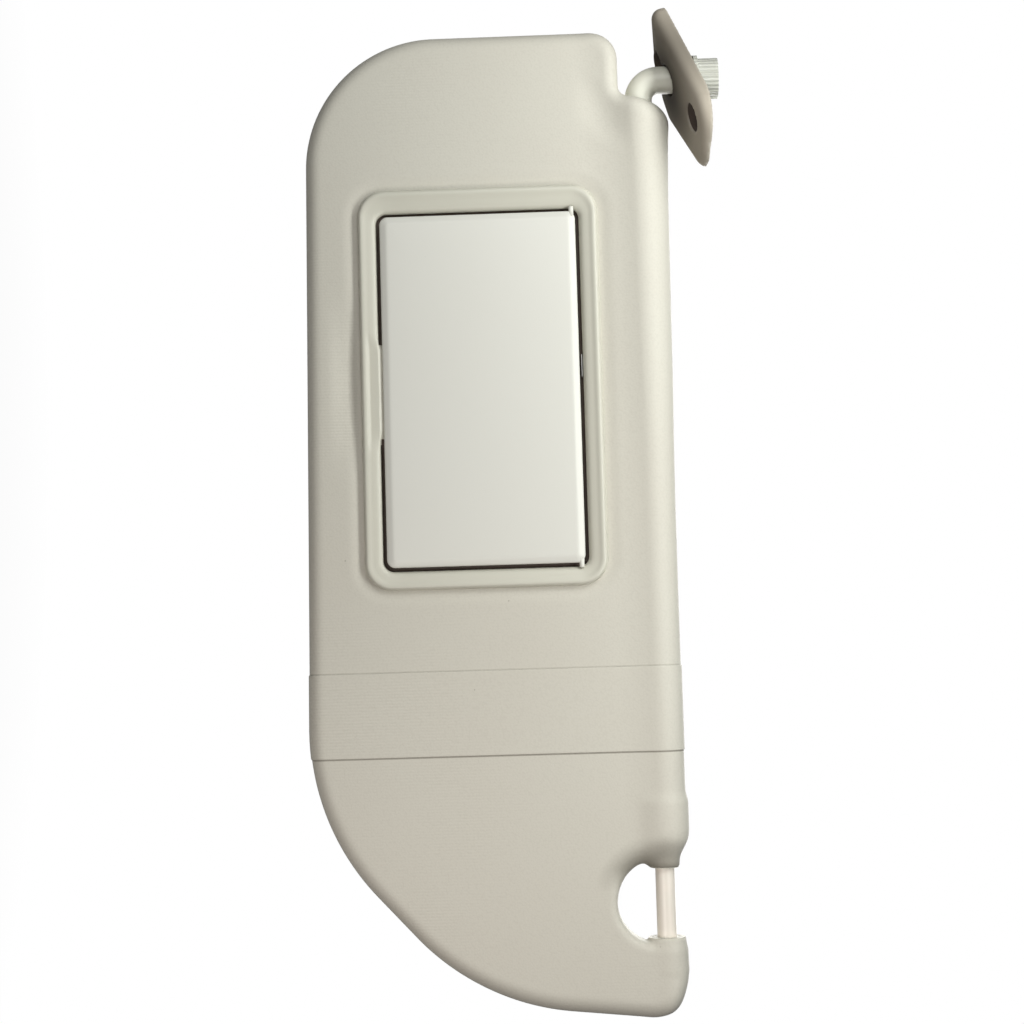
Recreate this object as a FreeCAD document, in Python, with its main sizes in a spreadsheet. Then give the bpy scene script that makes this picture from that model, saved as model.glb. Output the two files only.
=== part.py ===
# Car sun visor with a hinged arm, a roof bracket, a mirror under a lid and a clip rod.
# Millimetres, +Z up to the roof. X runs along the hinge rod, -Y faces the person in the seat.
# The origin is on the pivot axis, at the shoulder of the bush that locates the visor in the roof.
import FreeCAD, Part, Sketcher
import math
import os
from FreeCAD import Placement, Rotation, Vector

doc = FreeCAD.newDocument("sun_visor")
sheet = doc.addObject("Spreadsheet::Sheet", "sizes")
ALONG_X = Rotation(Vector(0, 1, 0), 90)
UPRIGHT = Rotation()
PARTS = []

SIZES = {
    # Pivot, arm and rod
    "rod_drop": 24.6,
    "bend_radius": 8.2,
    "core_radius": 3.5,
    "sleeve_radius": 5.65,
    "sleeve_end": 14.5,
    "sleeve_top": -9.0,
    "rod_end": 104.0,
    "running_gap": 0.05,
    "fit_gap": 0.15,
    # Roof bracket
    "rise_along": 15.1,
    "rise_across": 8.8,
    "plate_drop": 3.2,
    "plate_thickness": 9.0,
    "plate_edge_round": 4.0,
    "plate_wall": 2.6,
    "plate_rib": 1.8,
    "rib_step": 0.8,
    "rear_hole_along": -11.3,
    "rear_hole_across": 8.3,
    "front_hole_along": 20.0,
    "front_hole_across": -17.0,
    "screw_hole_radius": 2.8,
    "counterbore_radius": 6.0,
    "counterbore_depth": 5.0,
    "tower_radius": 8.3,
    "tower_height": 8.4,
    "shoulder_radius": 9.6,
    "shoulder_thickness": 1.6,
    "bush_bottom": -8.6,
    "bush_seat_depth": 5.0,
    "bush_seat_radius": 6.4,
    "slot_width": 3.0,
    "slot_depth": 3.6,
    "washer_thickness": 0.8,
    "push_nut_thickness": 1.0,
    "rod_top_gap": 1.4,
    # Blade outline, measured from the pivot axis along X and from the rod axis along Z
    "arm_end": -20.4,
    "hub_face": 6.6,
    "hub_draft": 7.4,
    "lobe_edge": -8.4,
    "lobe_round": 12.0,
    "elbow_round": 4.5,
    "free_edge": -138.2,
    "free_edge_slope": 0.75,
    "arm_corner_round": 54.0,
    "belly_start": 303.0,
    "belly_round": 78.0,
    "clip_corner_along": 373.9,
    "clip_corner_across": -75.2,
    "clip_corner_round": 44.0,
    "clip_end_draft": 6.1,
    "edge_round": 6.0,
    # Blade section
    "half_thickness": 7.5,
    "hub_bead_radius": 11.4,
    "clip_bead_radius": 8.9,
    "fairing_radius": 60.0,
    "skin": 1.2,
    # Clip notch and rod
    "notch_start": 320.2,
    "notch_end": 351.6,
    "notch_depth": 19.8,
    "notch_round": 14.0,
    "notch_edge_round": 3.0,
    "clip_rod_radius": 3.9,
    "clip_rod_start": 312.0,
    "clip_rod_end": 361.0,
    "socket_radius": 5.5,
    "socket_collar_radius": 7.4,
    "socket_collar": 1.2,
    "socket_stand": 2.6,
    "socket_floor": 4.0,
    # Clamp in the hinge bead
    "clamp_start": 17.0,
    "clamp_end": 92.0,
    "clamp_radius": 8.4,
    "clamp_wall": 3.0,
    "clamp_lug_half": 4.4,
    "clamp_lug_depth": 15.0,
    "spring_thickness": 1.2,
    "spring_slit": 2.4,
    "spring_room": 0.5,
    "clip_ring_thickness": 0.8,
    "clip_ring_radius": 5.6,
    "clip_groove": 0.6,
    "rod_pocket_radius": 6.4,
    "rod_pocket_room": 2.0,
    # Wire frame in the foam
    "wire_radius": 1.4,
    "wire_behind": 3.6,
    "wire_inset": 15.0,
    # Mirror, bezel and lid
    "lid_start": 55.5,
    "lid_end": 199.9,
    "lid_low": -108.3,
    "lid_high": -27.7,
    "lid_corner": 3.5,
    "lid_thickness": 2.5,
    "lid_proud": 2.3,
    "lid_edge_round": 1.6,
    "lid_gap": 1.0,
    "pin_radius": 1.3,
    "pin_inset": 1.7,
    "pin_depth": 0.8,
    "bezel_arm_border": 11.1,
    "bezel_clip_border": 9.0,
    "bezel_border": 8.9,
    "bezel_corner": 10.0,
    "bezel_proud": 2.1,
    "bezel_lip_round": 1.5,
    "bezel_wall": 1.6,
    "bezel_depth": 5.6,
    "bezel_floor": 1.4,
    "glass_border": 5.0,
    "hinge_border": 8.0,
    "glass_thickness": 2.0,
    "pad_thickness": 0.8,
    "pad_border": 3.0,
    "finger_start": 104.0,
    "finger_end": 149.0,
    "finger_depth": 4.2,
    "scoop_depth": 2.5,
    "scoop_sweep": 230.0,
    "scoop_radius": 14.0,
    "scoop_offset": 1.5,
    "leaf_start": 115.0,
    "leaf_width": 9.0,
    "leaf_thickness": 0.3,
    "leaf_foot": 5.0,
    "leaf_height": 5.0,
    # Ticket strap round the blade
    "strap_start": 242.0,
    "strap_width": 34.0,
    "strap_thickness": 0.5,
}

for row, (alias, value) in enumerate(SIZES.items(), start=1):
    sheet.set("A%d" % row, alias.replace("_", " "))
    sheet.set("B%d" % row, str(value))
    sheet.setAlias("B%d" % row, alias)
doc.recompute()


def size(alias):
    """The value of one named size."""
    return float(sheet.get(alias))


def tie(thing, **formulas):
    """Tie properties of a thing to formulas of the named sizes; x, y and z are its place."""
    places = {"x": "Placement.Base.x", "y": "Placement.Base.y", "z": "Placement.Base.z"}
    for prop, formula in formulas.items():
        thing.setExpression(places.get(prop, prop), formula)
    return thing


def cylinder(name, turn=UPRIGHT, **formulas):
    """A cylinder whose radius, height and place follow formulas."""
    thing = doc.addObject("Part::Cylinder", name)
    thing.Placement = Placement(Vector(), turn)
    return tie(thing, **formulas)


def block(name, **formulas):
    """A box whose Length, Width, Height and low corner follow formulas."""
    return tie(doc.addObject("Part::Box", name), **formulas)


def fused(name, *things):
    """Several things joined into one."""
    thing = doc.addObject("Part::MultiFuse", name)
    thing.Shapes = list(things)
    thing.Refine = True
    return thing


def cut(name, base, *tools):
    """A thing with others cut out of it."""
    thing = doc.addObject("Part::Cut", name)
    thing.Base = base
    thing.Tool = tools[0] if len(tools) == 1 else fused(name + "_tools", *tools)
    thing.Refine = True
    return thing


def shaped(name, shape, place=Placement()):
    """A thing whose shape is worked out here from the named sizes."""
    thing = doc.addObject("Part::Feature", name)
    thing.Shape = shape
    thing.Placement = place
    return thing


def part(label, thing):
    """Name a finished sub-part."""
    thing.Label = label
    PARTS.append(thing)
    return thing


ROD_Z = -size("rod_drop")


# Bodies built from sketches
def body_of(label, **place):
    """A PartDesign body; its place follows formulas."""
    body = doc.addObject("PartDesign::Body", label)
    return tie(body, **place)


def origin_plane(body, role):
    """One of the body's own origin planes, by its role."""
    return next(f for f in body.Origin.OriginFeatures if f.Role == role)


def sketch_on(body, role, name, offset=None):
    """A sketch on one of the body's origin planes, moved along the plane's normal by a formula."""
    sketch = body.newObject("Sketcher::SketchObject", name)
    sketch.AttachmentSupport = (origin_plane(body, role), [""])
    sketch.MapMode = "FlatFace"
    if offset:
        sketch.setExpression("AttachmentOffset.Base.z", offset)
    return sketch


def draw_polygon(sketch, corners):
    """A closed polygon; each corner is a pair of formulas, across and up, from the sketch's origin."""
    count = len(corners)
    values = [tuple(float(sketch.evalExpression(f)) for f in corner) for corner in corners]
    for i, (x, y) in enumerate(values):
        end_x, end_y = values[(i + 1) % count]
        sketch.addGeometry(Part.LineSegment(Vector(x, y, 0), Vector(end_x, end_y, 0)), False)
    for i in range(count):
        sketch.addConstraint(Sketcher.Constraint("Coincident", i, 2, (i + 1) % count, 1))
    for i, (across, up) in enumerate(corners):
        for kind, formula, value in (("DistanceX", across, values[i][0]), ("DistanceY", up, values[i][1])):
            index = sketch.addConstraint(Sketcher.Constraint(kind, -1, 1, i, 1, value))
            sketch.setExpression("Constraints[%d]" % index, formula)


def padded(body, name, sketch, length):
    """Pad a sketch along its normal by a formula."""
    pad = body.newObject("PartDesign::Pad", name)
    pad.Profile = sketch
    pad.setExpression("Length", length)
    doc.recompute()
    return pad


def pocketed(body, name, sketch, length):
    """Cut a sketch along its normal by a formula, and check that it removes something."""
    before = body.Shape.Volume
    pocket = body.newObject("PartDesign::Pocket", name)
    pocket.Profile = sketch
    pocket.Reversed = True
    pocket.setExpression("Length", length)
    doc.recompute()
    assert body.Shape.Volume < before - 1e-3, name + " removes nothing"
    return pocket


def rounded(body, name, radius, wanted):
    """Round the edges of the body's tip that the test picks out."""
    tip = body.Tip
    names = ["Edge%d" % i for i, edge in enumerate(tip.Shape.Edges, 1) if wanted(edge)]
    fillet = body.newObject("PartDesign::Fillet", name)
    fillet.Base = (tip, names)
    fillet.setExpression("Radius", radius)
    doc.recompute()
    return fillet


def turned(label, corners, turn=UPRIGHT, **place):
    """A turned piece: a profile of radius and height, revolved about the body's own Z axis."""
    body = body_of(label, **place)
    body.Placement = Placement(body.Placement.Base, turn)
    sketch = sketch_on(body, "XZ_Plane", label + "_profile")
    draw_polygon(sketch, corners)
    spin = body.newObject("PartDesign::Revolution", label + "_spin")
    spin.Profile = sketch
    spin.ReferenceAxis = (sketch, ["V_Axis"])
    spin.Angle = 360
    doc.recompute()
    return body


def upright_board(label, low_x, high_x, low_z, high_z, back, front):
    """A board square to Y, from the plane y = back forward to y = front, all by formulas."""
    body = body_of(label, z="-sizes.rod_drop")
    sketch = sketch_on(body, "XZ_Plane", label + "_outline", "-(%s)" % back)
    draw_polygon(sketch, [(low_x, low_z), (low_x, high_z), (high_x, high_z), (high_x, low_z)])
    padded(body, label + "_pad", sketch, "(%s) - (%s)" % (back, front))
    return body


def board_pocket(body, name, low_x, high_x, low_z, high_z, back, front):
    """A pocket in an upright board, from the plane y = front back to y = back."""
    sketch = sketch_on(body, "XZ_Plane", name + "_outline", "-(%s)" % back)
    draw_polygon(sketch, [(low_x, low_z), (low_x, high_z), (high_x, high_z), (high_x, low_z)])
    return pocketed(body, name, sketch, "(%s) - (%s)" % (back, front))


def runs_across(edge):
    """True for a straight edge along Y."""
    way = edge.tangentAt(edge.FirstParameter)
    return len(edge.Vertexes) == 2 and abs(way.y) > 0.999


def lies_at(edge, depth):
    """True for an edge that lies flat in the plane y = depth."""
    box = edge.BoundBox
    return abs(box.YMin - depth) < 1e-4 and abs(box.YMax - depth) < 1e-4


# Outlines with rounded corners
def corner_points(points, grow):
    """Move every side of a clockwise outline outwards by grow, and give the new corners."""
    moved = []
    count = len(points)
    for i in range(count):
        before, here, after = (Vector(*points[(i + k) % count], 0) for k in (-1, 0, 1))
        way_in = (here - before).normalize()
        way_out = (after - here).normalize()
        side_in = Vector(-way_in.y, way_in.x, 0)
        side_out = Vector(-way_out.y, way_out.x, 0)
        turn = way_in.x * way_out.y - way_in.y * way_out.x
        along = (side_in - side_out).dot(side_out) * grow / turn
        moved.append((here + side_in * grow + way_in * along, -turn))
    return moved


def rounded_wire(points, rounds, grow=0.0):
    """A closed wire in the XZ plane through a clockwise list of corners, each with its own round."""
    corners = corner_points(points, grow)
    count = len(corners)
    stops = []
    for i, (here, turn) in enumerate(corners):
        radius = rounds[i] + (grow if turn > 0 else -grow) if rounds[i] else 0.0
        back = (corners[i - 1][0] - here).normalize()
        ahead = (corners[(i + 1) % count][0] - here).normalize()
        half = back.getAngle(ahead) / 2
        reach = radius / math.tan(half)
        middle = (back + ahead).normalize() * (radius / math.sin(half) - radius)
        stops.append((here + back * reach, here + middle, here + ahead * reach, radius))
    edges = []
    for i, (start, middle, end, radius) in enumerate(stops):
        if radius:
            edges.append(Part.Arc(upright(start), upright(middle), upright(end)).toShape())
        edges.append(Part.makeLine(upright(end), upright(stops[(i + 1) % count][0])))
    return Part.Wire(edges)


def upright(point):
    """Turn a point of an outline, along and up, into a point of the XZ plane."""
    return Vector(point.x, 0, point.y)


def slab(wire, back, front):
    """A solid with the wire's outline, from the plane y = back forward to y = front."""
    face = Part.Face(wire)
    face.translate(Vector(0, back, 0))
    return face.extrude(Vector(0, front - back, 0))


def rectangle(low_x, high_x, low_z, high_z):
    """The corners of an upright rectangle, clockwise."""
    return [(low_x, low_z), (low_x, high_z), (high_x, high_z), (high_x, low_z)]


# The blade: a bead round the rod that runs into a flat board, cut to the visor's outline
BEYOND = 12.0
OUTER = 60.0


def blade_section(along, radius, grow):
    """The closed section of the blade at one place along the rod, in the YZ plane."""
    half = size("half_thickness")
    fairing = size("fairing_radius")
    reach = half + fairing
    fall = math.sqrt((radius + fairing) ** 2 - reach**2)
    share = (radius + grow) / (radius + fairing)
    touch = Vector(along, reach * share, -fall * share)
    flat = Vector(along, half + grow, -fall)
    low = Vector(along, half + grow, size("free_edge") - OUTER)
    pivot = Vector(along, reach, -fall)
    to_waist = ((flat - pivot).normalize() + (touch - pivot).normalize()).normalize()
    waist = pivot + to_waist * (fairing - grow)
    mirror = [Vector(p.x, -p.y, p.z) for p in (low, flat, waist, touch)]
    top = Vector(along, 0, radius + grow)
    return Part.Wire(
        [
            Part.makeLine(low, flat),
            Part.Arc(flat, waist, touch).toShape(),
            Part.Arc(touch, top, mirror[3]).toShape(),
            Part.Arc(mirror[3], mirror[2], mirror[1]).toShape(),
            Part.makeLine(mirror[1], mirror[0]),
            Part.makeLine(mirror[0], low),
        ]
    )


def bead_radius(along):
    """The radius of the hinge bead, which tapers from the hub to the clip end."""
    start, end = size("hub_face"), size("clip_corner_along")
    share = (along - start) / (end - start)
    return size("hub_bead_radius") + share * (size("clip_bead_radius") - size("hub_bead_radius"))


def blade_outline():
    """The corners of the blade's outline and their rounds, clockwise from the top of the hub."""
    top = size("hub_bead_radius") + BEYOND
    lean = math.tan(math.radians(size("hub_draft")))
    end_lean = math.tan(math.radians(size("clip_end_draft")))
    slope = math.tan(math.radians(size("free_edge_slope")))
    lobe = size("lobe_edge")
    tip_x, tip_z = size("clip_corner_along"), size("clip_corner_across")
    corners = [
        (size("hub_face") + lean * (top - lobe), top, 0),
        (tip_x + end_lean * (top - tip_z), top, 0),
        (tip_x, tip_z, size("clip_corner_round")),
        (size("belly_start"), size("free_edge") - slope * size("belly_start"), size("belly_round")),
        (size("arm_end"), size("free_edge") - slope * size("arm_end"), size("arm_corner_round")),
        (size("arm_end"), lobe, size("lobe_round")),
        (size("hub_face"), lobe, size("elbow_round")),
    ]
    return [c[:2] for c in corners], [c[2] for c in corners]


def notch_outline():
    """The corners of the notch for the clip and their rounds, clockwise; it is open at the top."""
    top = size("hub_bead_radius") + 2 * BEYOND
    points = rectangle(size("notch_start"), size("notch_end"), -size("notch_depth"), top)
    return points, [size("notch_round"), 0, 0, size("notch_round")]


def is_wall(face):
    """True for a face of the outline's wall, which stands square to the blade."""
    surface = face.Surface
    if isinstance(surface, Part.Plane):
        return abs(surface.Axis.y) < 1e-6
    return isinstance(surface, Part.Cylinder) and abs(surface.Axis.y) > 0.999


def wall_edges(walls):
    """The edges where the given wall faces meet the blade's other faces."""
    counts = {}
    for face in walls:
        for edge in face.Edges:
            counts.setdefault(edge.hashCode(), []).append(edge)
    return [found[0] for found in counts.values() if len(found) == 1]


def in_notch(face):
    """True for a wall face inside the notch for the clip."""
    low, high = size("notch_start") - BEYOND / 2, size("notch_end") + BEYOND / 2
    box = face.BoundBox
    return low < box.XMin and box.XMax < high and box.ZMin > -size("notch_depth") - BEYOND / 2


def blade_form(grow):
    """The blade's whole outer form, moved outwards by grow, with the rod axis on the X axis."""
    low_x, high_x = size("arm_end") - BEYOND, size("clip_corner_along") + 2 * BEYOND
    wires = [blade_section(x, bead_radius(x), grow) for x in (low_x, high_x)]
    solid = Part.makeLoft(wires, True, True)
    points, rounds = blade_outline()
    solid = solid.common(slab(rounded_wire(points, rounds, grow), OUTER, -OUTER))
    walls = [face for face in solid.Faces if is_wall(face)]
    solid = solid.makeFillet(size("edge_round") + grow, wall_edges(walls))
    points, rounds = notch_outline()
    solid = solid.cut(slab(rounded_wire(points, rounds, -grow), OUTER, -OUTER))
    walls = [face for face in solid.Faces if is_wall(face) and in_notch(face)]
    solid = solid.makeFillet(size("notch_edge_round") + grow, wall_edges(walls))
    return solid.cut(scoop(grow)).Solids[0]


def scoop(grow):
    """The long shallow hollow beside the lid's free edge, where a finger goes."""
    sweep, radius = size("scoop_sweep"), size("scoop_radius")
    ring = Part.makeTorus(sweep, radius - grow)
    depth = size("half_thickness") - size("scoop_depth")
    middle = (size("finger_start") + size("finger_end")) / 2
    low = size("lid_low") - size("bezel_border") - size("scoop_offset")
    ring.translate(Vector(middle, -depth - sweep - radius, low))
    return ring


# Roof bracket: a moulded plate with two screw bosses, hollow behind, and the pivot bush
def hull_wire(circles):
    """A closed wire in the XY plane, wrapped tightly round circles given clockwise as x, y, radius."""
    arcs = []
    count = len(circles)
    touches = []
    for i, (x, y, radius) in enumerate(circles):
        next_x, next_y, next_radius = circles[(i + 1) % count]
        way = Vector(next_x - x, next_y - y, 0)
        lean = math.asin((radius - next_radius) / way.Length)
        heading = math.atan2(way.y, way.x) + math.pi / 2 - lean
        touches.append(heading)
    for i, (x, y, radius) in enumerate(circles):
        start, end = touches[i - 1], touches[i]
        if end > start:
            start += 2 * math.pi
        spots = [start, (start + end) / 2, end]
        arcs.append([Vector(x + radius * math.cos(a), y + radius * math.sin(a), 0) for a in spots])
    edges = []
    for i, arc in enumerate(arcs):
        edges.append(Part.Arc(*arc).toShape())
        edges.append(Part.makeLine(arc[2], arcs[(i + 1) % count][0]))
    return Part.Wire(edges)


def pillar(x, y, radius, low, high):
    """A round pillar along Z."""
    return Part.makeCylinder(radius, high - low, Vector(x, y, low))


# The rounds of the plate's outline as x, y and radius, clockwise seen from above
PLATE_ROUNDS = [(0, 8, 20), (18, 3, 12.5), (31, -16, 10), (14, -24, 9), (-25, -15, 9)]
RIB_ANGLES = (75, 160, 215, 265, 345)


def plate_circles(inset):
    """The rounds of the plate's outline, each made smaller by inset."""
    return [(x, y, radius - inset) for x, y, radius in PLATE_ROUNDS]


def plate_holes():
    """The places of the two screw holes on the plate."""
    rear = (size("rear_hole_along"), size("rear_hole_across"))
    front = (size("front_hole_along"), size("front_hole_across"))
    return [rear, front]


def plate_shape():
    """The plate in its own frame: its roof side is z = 0 and its cabin side is below."""
    thickness, wall = size("plate_thickness"), size("plate_wall")
    plate = Part.Face(hull_wire(plate_circles(0))).extrude(Vector(0, 0, -thickness))
    cabin_side = [e for e in plate.Edges if e.BoundBox.ZMax < -thickness + 1e-6]
    plate = plate.makeFillet(size("plate_edge_round"), cabin_side)
    floor = -thickness + wall
    hollow = Part.Face(hull_wire(plate_circles(wall))).extrude(Vector(0, 0, floor))
    rib_top = -size("rib_step")
    stays = [pillar(0, 0, size("shoulder_radius") + wall, floor, rib_top)]
    for x, y in plate_holes():
        stays.append(pillar(x, y, size("counterbore_radius") + wall / 2, floor, rib_top))
    for angle in RIB_ANGLES:
        rib = Part.makeBox(OUTER, size("plate_rib"), rib_top - floor, Vector(0, -size("plate_rib") / 2, floor))
        rib.rotate(Vector(), Vector(0, 0, 1), angle)
        stays.append(rib)
    plate = plate.cut(hollow.cut(stays[0].multiFuse(stays[1:])))
    for x, y in plate_holes():
        plate = plate.cut(pillar(x, y, size("screw_hole_radius"), -2 * thickness, thickness))
        head = -thickness + size("counterbore_depth")
        plate = plate.cut(pillar(x, y, size("counterbore_radius"), -2 * thickness, head))
    return plate


def plate_place():
    """The plate leans with the roof: it rises along +X and towards -Y."""
    rise = Vector(math.tan(math.radians(size("rise_along"))), -math.tan(math.radians(size("rise_across"))), 0)
    normal = Vector(-rise.x, -rise.y, 1).normalize()
    return Placement(Vector(0, 0, -size("plate_drop")), Rotation(Vector(0, 0, 1), normal))


plate_blank = shaped("plate_blank", plate_shape(), plate_place())
sleeve_bore = cylinder(
    "sleeve_bore",
    Radius="sizes.sleeve_radius + 3 * sizes.fit_gap",
    Height="4 * sizes.plate_thickness",
    z="-4 * sizes.plate_thickness",
)
bush_bore = cylinder(
    "bush_bore",
    Radius="sizes.tower_radius + sizes.running_gap",
    Height="4 * sizes.plate_thickness",
    z="sizes.bush_bottom - sizes.running_gap",
)
shoulder_bore = cylinder(
    "shoulder_bore",
    Radius="sizes.shoulder_radius + sizes.fit_gap",
    Height="4 * sizes.plate_thickness",
    z="-sizes.shoulder_thickness - sizes.running_gap",
)
part("mount_plate", cut("plate_cut", plate_blank, sleeve_bore, bush_bore, shoulder_bore))

bush_blank = turned(
    "bush_blank",
    [
        ("sizes.core_radius + sizes.running_gap", "sizes.bush_bottom"),
        ("sizes.tower_radius", "sizes.bush_bottom"),
        ("sizes.tower_radius", "-sizes.shoulder_thickness"),
        ("sizes.shoulder_radius", "-sizes.shoulder_thickness"),
        ("sizes.shoulder_radius", "0"),
        ("sizes.tower_radius", "0"),
        ("sizes.tower_radius", "sizes.tower_height"),
        ("sizes.bush_seat_radius", "sizes.tower_height"),
        ("sizes.bush_seat_radius", "sizes.tower_height - sizes.bush_seat_depth"),
        ("sizes.core_radius + sizes.running_gap", "sizes.tower_height - sizes.bush_seat_depth"),
    ],
)
tower_slot = block(
    "tower_slot",
    Length="4 * sizes.tower_radius",
    Width="sizes.slot_width",
    Height="sizes.slot_depth",
    x="-2 * sizes.tower_radius",
    y="-sizes.slot_width / 2",
    z="sizes.tower_height - sizes.slot_depth",
)
part("pivot_bush", cut("bush_cut", bush_blank, tower_slot))

# Arm: a steel core bent at the knee, a moulded sleeve round it, and what keeps each end
def elbow(radius, top, end):
    """A round bar down the pivot axis, through the knee, and along the rod."""
    bend = size("bend_radius")
    high = Vector(0, 0, ROD_Z + bend)
    low = Vector(bend, 0, ROD_Z)
    knee = Vector(bend, 0, ROD_Z + bend) + Vector(-1, 0, -1).normalize() * bend
    start = Vector(0, 0, top)
    path = Part.Wire([
        Part.makeLine(start, high),
        Part.Arc(high, knee, low).toShape(),
        Part.makeLine(low, Vector(end, 0, ROD_Z)),
    ])
    section = Part.Wire([Part.makeCircle(radius, start, Vector(0, 0, -1))])
    return path.makePipeShell([section], True, False)


ROD_TOP = size("tower_height") - size("rod_top_gap")
core_blank = shaped("core_blank", elbow(size("core_radius"), ROD_TOP, size("rod_end")))
ring_groove = cut(
    "ring_groove",
    cylinder("groove_outer", ALONG_X, Radius="2 * sizes.core_radius", Height="sizes.clip_ring_thickness",
             x="sizes.clamp_end + sizes.running_gap", z="-sizes.rod_drop"),
    cylinder("groove_inner", ALONG_X, Radius="sizes.core_radius - sizes.clip_groove",
             Height="sizes.clip_ring_thickness", x="sizes.clamp_end + sizes.running_gap", z="-sizes.rod_drop"),
)
part("arm_core", cut("core_cut", core_blank, ring_groove))

sleeve_blank = shaped("sleeve_blank", elbow(size("sleeve_radius"), size("sleeve_top"), size("sleeve_end")))
hollow_radius = size("core_radius") + size("running_gap")
sleeve_hollow = shaped("sleeve_hollow", elbow(hollow_radius, ROD_TOP, size("rod_end")))
part("arm_sleeve", cut("sleeve_cut", sleeve_blank, sleeve_hollow))


def ring(label, inner, outer, thickness, turn=UPRIGHT, **place):
    """A flat ring, by formulas."""
    corners = [(inner, "0"), (outer, "0"), (outer, thickness), (inner, thickness)]
    return turned(label, corners, turn, **place)


SEAT = "sizes.tower_height - sizes.bush_seat_depth"
part("spring_washer", ring("spring_washer", "sizes.core_radius + sizes.fit_gap",
     "sizes.bush_seat_radius - sizes.fit_gap", "sizes.washer_thickness", z=SEAT + " + sizes.running_gap"))
part("push_nut", ring("push_nut", "sizes.core_radius + sizes.running_gap",
     "sizes.bush_seat_radius - 2 * sizes.fit_gap", "sizes.push_nut_thickness",
     z=SEAT + " + sizes.washer_thickness + 2 * sizes.running_gap"))
ring_blank = ring("ring_blank", "sizes.core_radius - sizes.clip_groove + sizes.running_gap",
                  "sizes.clip_ring_radius", "sizes.clip_ring_thickness - sizes.running_gap", ALONG_X,
                  x="sizes.clamp_end + 1.5 * sizes.running_gap", z="-sizes.rod_drop")
ring_mouth = block("ring_mouth", Length="4 * sizes.clip_ring_thickness", Width="sizes.core_radius",
                   Height="2 * sizes.clip_ring_radius", x="sizes.clamp_end - sizes.clip_ring_thickness",
                   y="-sizes.core_radius / 2", z="-sizes.rod_drop")
part("retaining_ring", cut("ring_cut", ring_blank, ring_mouth))

# Blade: foam core in a welded skin
at_rod = Placement(Vector(0, 0, ROD_Z), UPRIGHT)
outer_form = shaped("outer_form", blade_form(0.0), at_rod)
lining_form = shaped("lining_form", blade_form(-size("skin")), at_rod)
core_form = shaped("core_form", blade_form(-size("skin") - size("running_gap")), at_rod)

SOCKET_HOLE = "sizes.socket_radius + sizes.fit_gap"
hub_hole = cylinder("hub_hole", ALONG_X, Radius="sizes.sleeve_radius + 3 * sizes.fit_gap",
                    Height="sizes.clamp_start - sizes.arm_end", x="sizes.arm_end", z="-sizes.rod_drop")
socket_holes = cylinder("socket_holes", ALONG_X, Radius=SOCKET_HOLE,
                        Height="sizes.clip_rod_end - sizes.clip_rod_start + 2 * sizes.socket_floor"
                               " + 2 * sizes.fit_gap",
                        x="sizes.clip_rod_start - sizes.socket_floor - sizes.fit_gap", z="-sizes.rod_drop")
tray_hole = upright_board(
    "tray_hole",
    "sizes.lid_start - sizes.lid_gap - sizes.bezel_wall - sizes.fit_gap",
    "sizes.lid_end + sizes.lid_gap + sizes.bezel_wall + sizes.fit_gap",
    "sizes.lid_low - sizes.lid_gap - sizes.bezel_wall - sizes.fit_gap",
    "sizes.lid_high + sizes.lid_gap + sizes.bezel_wall + sizes.fit_gap",
    "-sizes.half_thickness + sizes.bezel_depth + sizes.fit_gap",
    "-3 * sizes.half_thickness",
)
far_half = block("far_half", Length="4 * sizes.clip_rod_end", Width="4 * sizes.half_thickness",
                 Height="2 * sizes.clip_rod_end", x="-sizes.clip_rod_end", z="-sizes.clip_rod_end")
near_half = block("near_half", Length="4 * sizes.clip_rod_end", Width="4 * sizes.half_thickness",
                  Height="2 * sizes.clip_rod_end", x="-sizes.clip_rod_end",
                  y="-4 * sizes.half_thickness", z="-sizes.clip_rod_end")
openings = fused("openings", lining_form, hub_hole, socket_holes, tray_hole)
part("skin_front", cut("skin_front_cut", outer_form, fused("front_tools", openings, far_half)))
part("skin_back", cut("skin_back_cut", outer_form, fused("back_tools", openings, near_half)))

# Clamp: a housing in the hinge bead with a rolled spring that grips the rod
def clamp_form(name, grow):
    """The clamp housing's outer form, made larger by a formula."""
    drum = cylinder(name + "_drum", ALONG_X, Radius="sizes.clamp_radius + " + grow,
                    Height="sizes.clamp_end - sizes.clamp_start + 2 * " + grow,
                    x="sizes.clamp_start - " + grow, z="-sizes.rod_drop")
    lug = block(name + "_lug", Length="sizes.clamp_end - sizes.clamp_start + 2 * " + grow,
                Width="2 * sizes.clamp_lug_half + 2 * " + grow,
                Height="sizes.clamp_lug_depth + " + grow,
                x="sizes.clamp_start - " + grow, y="-sizes.clamp_lug_half - " + grow,
                z="-sizes.rod_drop - sizes.clamp_lug_depth - " + grow)
    return fused(name, drum, lug)


clamp_bore = cylinder("clamp_bore", ALONG_X, Radius="sizes.core_radius + sizes.running_gap",
                      Height="sizes.clamp_end", x="sizes.clamp_start / 2", z="-sizes.rod_drop")
spring_room = cylinder("spring_room", ALONG_X,
                       Radius="sizes.core_radius + sizes.spring_thickness + sizes.spring_room",
                       Height="sizes.clamp_end - sizes.clamp_start - 2 * sizes.clamp_wall",
                       x="sizes.clamp_start + sizes.clamp_wall", z="-sizes.rod_drop")
TAIL = "sizes.clamp_lug_depth - sizes.clamp_wall"
tail_room = block("tail_room", Length="sizes.clamp_end - sizes.clamp_start - 2 * sizes.clamp_wall",
                  Width="2 * sizes.spring_thickness + sizes.spring_slit + 2 * sizes.fit_gap", Height=TAIL,
                  x="sizes.clamp_start + sizes.clamp_wall",
                  y="-sizes.spring_thickness - sizes.spring_slit / 2 - sizes.fit_gap",
                  z="-sizes.rod_drop - sizes.clamp_lug_depth + sizes.clamp_wall")
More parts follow.
